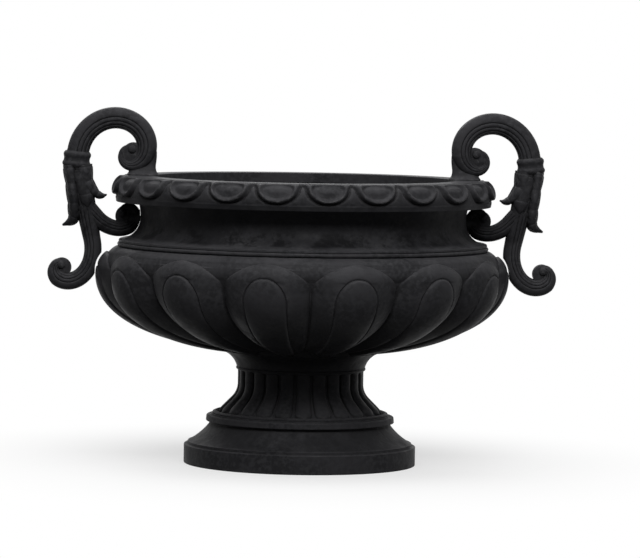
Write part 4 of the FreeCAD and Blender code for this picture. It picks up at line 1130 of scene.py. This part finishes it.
def paint():
    """Matt black paint on a sand casting: uneven sheen, dust and painted light on what faces up,
    grime and painted shade in hollows, rubbed edges, darker patches near the neck's foot, and
    painted shade over the neck, under the bowl and in the cove."""
    material = bpy.data.materials.new("black_casting_paint")
    material.use_nodes = True
    tree = material.node_tree
    shader = tree.nodes["Principled BSDF"]
    shader.inputs["Specular IOR Level"].default_value = PAINT_SHEEN
    grain = placed(tree, GRAIN, Scale=520.0, Pits=0.35, Waves=1.2)
    dust_and_top_light = placed(tree, DUST_AND_TOP_LIGHT, Scale=22.0, Amount=0.85)
    grime_and_shade = placed(tree, GRIME_AND_SHADE, Scale=45.0, Amount=0.8)
    wear = placed(tree, WEAR, Scale=110.0, Amount=0.55)
    neck_foot_dark = placed(tree, NECK_FOOT_DARKENING, Scale=30.0, Amount=0.85)
    neck_shade = placed(tree, NECK_SHADE, Scale=9.0, Amount=0.9)
    cove = placed(tree, COVE_SHADE, Scale=12.0, Amount=0.7)
    shade = placed(tree, SHADE, Scale=7.0, Amount=0.8)
    cloud = ramp_node(tree, noise_node(tree, 14.0, 5.0, 0.6), 0.36, 0.66)
    colour = layered(tree, (0.0175, 0.0175, 0.019), (
        (cloud, (0.03, 0.0295, 0.032)),
        (grain.outputs["Speckle"], (0.031, 0.031, 0.0335)),
        # dust colour, also painted light on what faces up
        (dust_and_top_light.outputs["Mask"], (0.055, 0.0545, 0.058)),
        (wear.outputs["Mask"], (0.085, 0.084, 0.087)),
        # painted shade over the neck
        (neck_shade.outputs["Mask"], (0.010, 0.010, 0.011)),
        # painted shade under the bowl
        (shade.outputs["Mask"], (0.008, 0.008, 0.0086)),
        # painted shade in the cove
        (cove.outputs["Mask"], (0.010, 0.010, 0.0108)),
        # darker patches at the neck's foot
        (neck_foot_dark.outputs["Mask"], (0.006, 0.006, 0.0065)),
        # grime colour, also painted shade in hollows
        (grime_and_shade.outputs["Mask"], (0.010, 0.0098, 0.0098))))
    tree.links.new(colour, shader.inputs["Base Color"])
    sheen = ramp_node(tree, noise_node(tree, 30.0, 6.0, 0.65), 0.3, 0.7, 0.42, 0.58)
    sheen = summed(tree, sheen, ((dust_and_top_light.outputs["Mask"], 0.14), (grime_and_shade.outputs["Mask"], 0.2)))
    tree.links.new(sheen, shader.inputs["Roughness"])
    tree.links.new(bumped(tree, grain.outputs["Height"], 0.0006, 0.75), shader.inputs["Normal"])
    return material


def plated():
    """Dull zinc plating with a spangle, grime and painted shade in corners, and rubbed edges."""
    material = bpy.data.materials.new("zinc_plating")
    material.use_nodes = True
    tree = material.node_tree
    shader = tree.nodes["Principled BSDF"]
    shader.inputs["Metallic"].default_value = 1.0
    grain = placed(tree, GRAIN, Scale=1600.0, Pits=0.15, Waves=0.6)
    grime_and_shade = placed(tree, GRIME_AND_SHADE, Scale=160.0, Amount=0.7)
    wear = placed(tree, WEAR, Scale=300.0, Amount=0.5)
    spangle = ramp_node(tree, noise_node(tree, 260.0, 3.0, 0.55), 0.35, 0.65)
    colour = layered(tree, (0.34, 0.34, 0.335), (
        (spangle, (0.47, 0.47, 0.465)),
        (wear.outputs["Mask"], (0.6, 0.6, 0.6)),
        # grime colour, also painted shade in corners
        (grime_and_shade.outputs["Mask"], (0.09, 0.08, 0.07))))
    tree.links.new(colour, shader.inputs["Base Color"])
    sheen = ramp_node(tree, noise_node(tree, 420.0, 4.0, 0.6), 0.3, 0.7, 0.34, 0.55)
    sheen = summed(tree, sheen, ((grime_and_shade.outputs["Mask"], 0.3),))
    tree.links.new(sheen, shader.inputs["Roughness"])
    tree.links.new(bumped(tree, grain.outputs["Height"], 0.00015, 0.7), shader.inputs["Normal"])
    return material


# ---------------------------------------------------------------- camera, floor and light

# The photograph is 640 px wide; at the urn's axis one pixel is 1.55 mm.
PHOTO_WIDTH = 640
LENS = 0.230
SENSOR = 0.036
PIXEL = 0.00155
DISTANCE = PIXEL * PHOTO_WIDTH * LENS / SENSOR
EYE_HEIGHT = 0.6595
AROUND = math.radians(-92.5)
PITCH = math.radians(-3.36)
YAW_RIGHT = math.radians(0.248)
ROLL = math.radians(1.0)


def make_camera():
    data = bpy.data.cameras.new("camera")
    data.sensor_width = SENSOR * 1000
    data.lens = LENS * 1000
    data.clip_end = 100
    camera = bpy.data.objects.new("camera", data)
    bpy.context.scene.collection.objects.link(camera)
    place = Vector((DISTANCE * math.cos(AROUND), DISTANCE * math.sin(AROUND), EYE_HEIGHT))
    aim = AROUND + math.pi - YAW_RIGHT
    forward = Vector((math.cos(PITCH) * math.cos(aim), math.cos(PITCH) * math.sin(aim),
                      math.sin(PITCH)))
    level = forward.cross(Vector((0, 0, 1))).normalized()
    upright = level.cross(forward)
    right = level * math.cos(ROLL) + upright * math.sin(ROLL)
    up = right.cross(forward)
    turn = Matrix((right, up, -forward)).transposed().to_4x4()
    camera.matrix_world = Matrix.Translation(place) @ turn
    bpy.context.scene.camera = camera


def seen_directly(tree):
    """A 0 or 1 that is 1 for what the camera, a gloss or a glass shows."""
    path = tree.nodes.new("ShaderNodeLightPath")
    seen = path.outputs["Is Camera Ray"]
    for kind in ("Is Glossy Ray", "Is Transmission Ray"):
        seen = math_node(tree, "MAXIMUM", seen, path.outputs[kind])
    return seen


FLOOR_SIZE = 20.0
FLOOR_COLOUR = 0.8
FLOOR_BOUNCE = 0.04
FLOOR_GLOW = 0.6
SHADOW_NEAR = 0.2
SHADOW_FAR = 0.7
WORLD_LIGHT = 0.045


def make_floor():
    """Pale floor with the object's shadow; away from the object it turns plain white to what
    sees it directly."""
    mesh = bpy.data.meshes.new("floor")
    s = FLOOR_SIZE
    mesh.from_pydata([(-s, -s, 0), (s, -s, 0), (s, s, 0), (-s, s, 0)], [], [(0, 1, 2, 3)])
    floor = bpy.data.objects.new("floor", mesh)
    bpy.context.scene.collection.objects.link(floor)
    material = bpy.data.materials.new("pale_floor")
    material.use_nodes = True
    tree = material.node_tree
    node, link = tree.nodes.new, tree.links.new
    shader = tree.nodes["Principled BSDF"]
    shader.inputs["Roughness"].default_value = 0.9
    shader.inputs["Specular IOR Level"].default_value = 0.0
    seen = seen_directly(tree)
    link(blended(tree, seen, (FLOOR_BOUNCE,) * 3, (FLOOR_COLOUR,) * 3), shader.inputs["Base Color"])
    glow = node("ShaderNodeEmission")
    glow.inputs["Strength"].default_value = 1.0
    place = node("ShaderNodeTexCoord")
    length = node("ShaderNodeVectorMath")
    length.operation = "LENGTH"
    link(place.outputs["Object"], length.inputs[0])
    fade = ramp_node(tree, length.outputs["Value"], SHADOW_NEAR, SHADOW_FAR, FLOOR_GLOW, 1.0)
    both = node("ShaderNodeMixShader")
    link(product(tree, fade, seen), both.inputs[0])
    link(shader.outputs[0], both.inputs[1])
    link(glow.outputs[0], both.inputs[2])
    link(both.outputs[0], tree.nodes["Material Output"].inputs["Surface"])
    mesh.materials.append(material)


def make_world():
    world = bpy.data.worlds.new("studio")
    bpy.context.scene.world = world
    world.use_nodes = True
    tree = world.node_tree
    background = tree.nodes["Background"]
    level = ramp_node(tree, seen_directly(tree), 0.0, 1.0, WORLD_LIGHT, 1.0)
    tree.links.new(level, background.inputs["Strength"])
    background.inputs["Color"].default_value = (1, 1, 1, 1)


def soft_box(name, place, target, width, height, power):
    light = bpy.data.lights.new(name, "AREA")
    light.shape = "RECTANGLE"
    light.size = width
    light.size_y = height
    light.energy = power
    lamp = bpy.data.objects.new(name, light)
    bpy.context.scene.collection.objects.link(lamp)
    lamp.location = place
    lamp.rotation_euler = (Vector(target) - Vector(place)).to_track_quat("-Z", "Y").to_euler()


make_camera()
make_floor()
make_world()
soft_box("overhead", (-0.1, -0.5, 2.6), (0, 0, 0.3), 2.4, 1.8, 38)
soft_box("front", (0.1, -2.75, 2.4), (0, 0, 0.2), 2.4, 1.2, 95)
soft_box("back", (-0.4, 2.7, 2.2), (0, 0, 0.25), 2.0, 1.2, 34)
bpy.context.scene.view_settings.view_transform = "Standard"

PAINT = paint()
PLATED = plated()
for build, node_name in ((build_base, "base"), (build_stem, "stem"), (build_bowl, "bowl"),
                         (build_rim, "rim")):
    finish_piece(build(PAINT), node_name)
for node_name, side in (("handle_right", 1), ("handle_left", -1)):
    finish_piece(build_handle(node_name + "_casting", side, PAINT), node_name)
for node_name, node_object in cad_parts.items():
    if node_name.startswith(("tie_rod", "rim_", "handle_top", "handle_neck")):
        node_object.data.materials.clear()
        node_object.data.materials.append(PLATED)
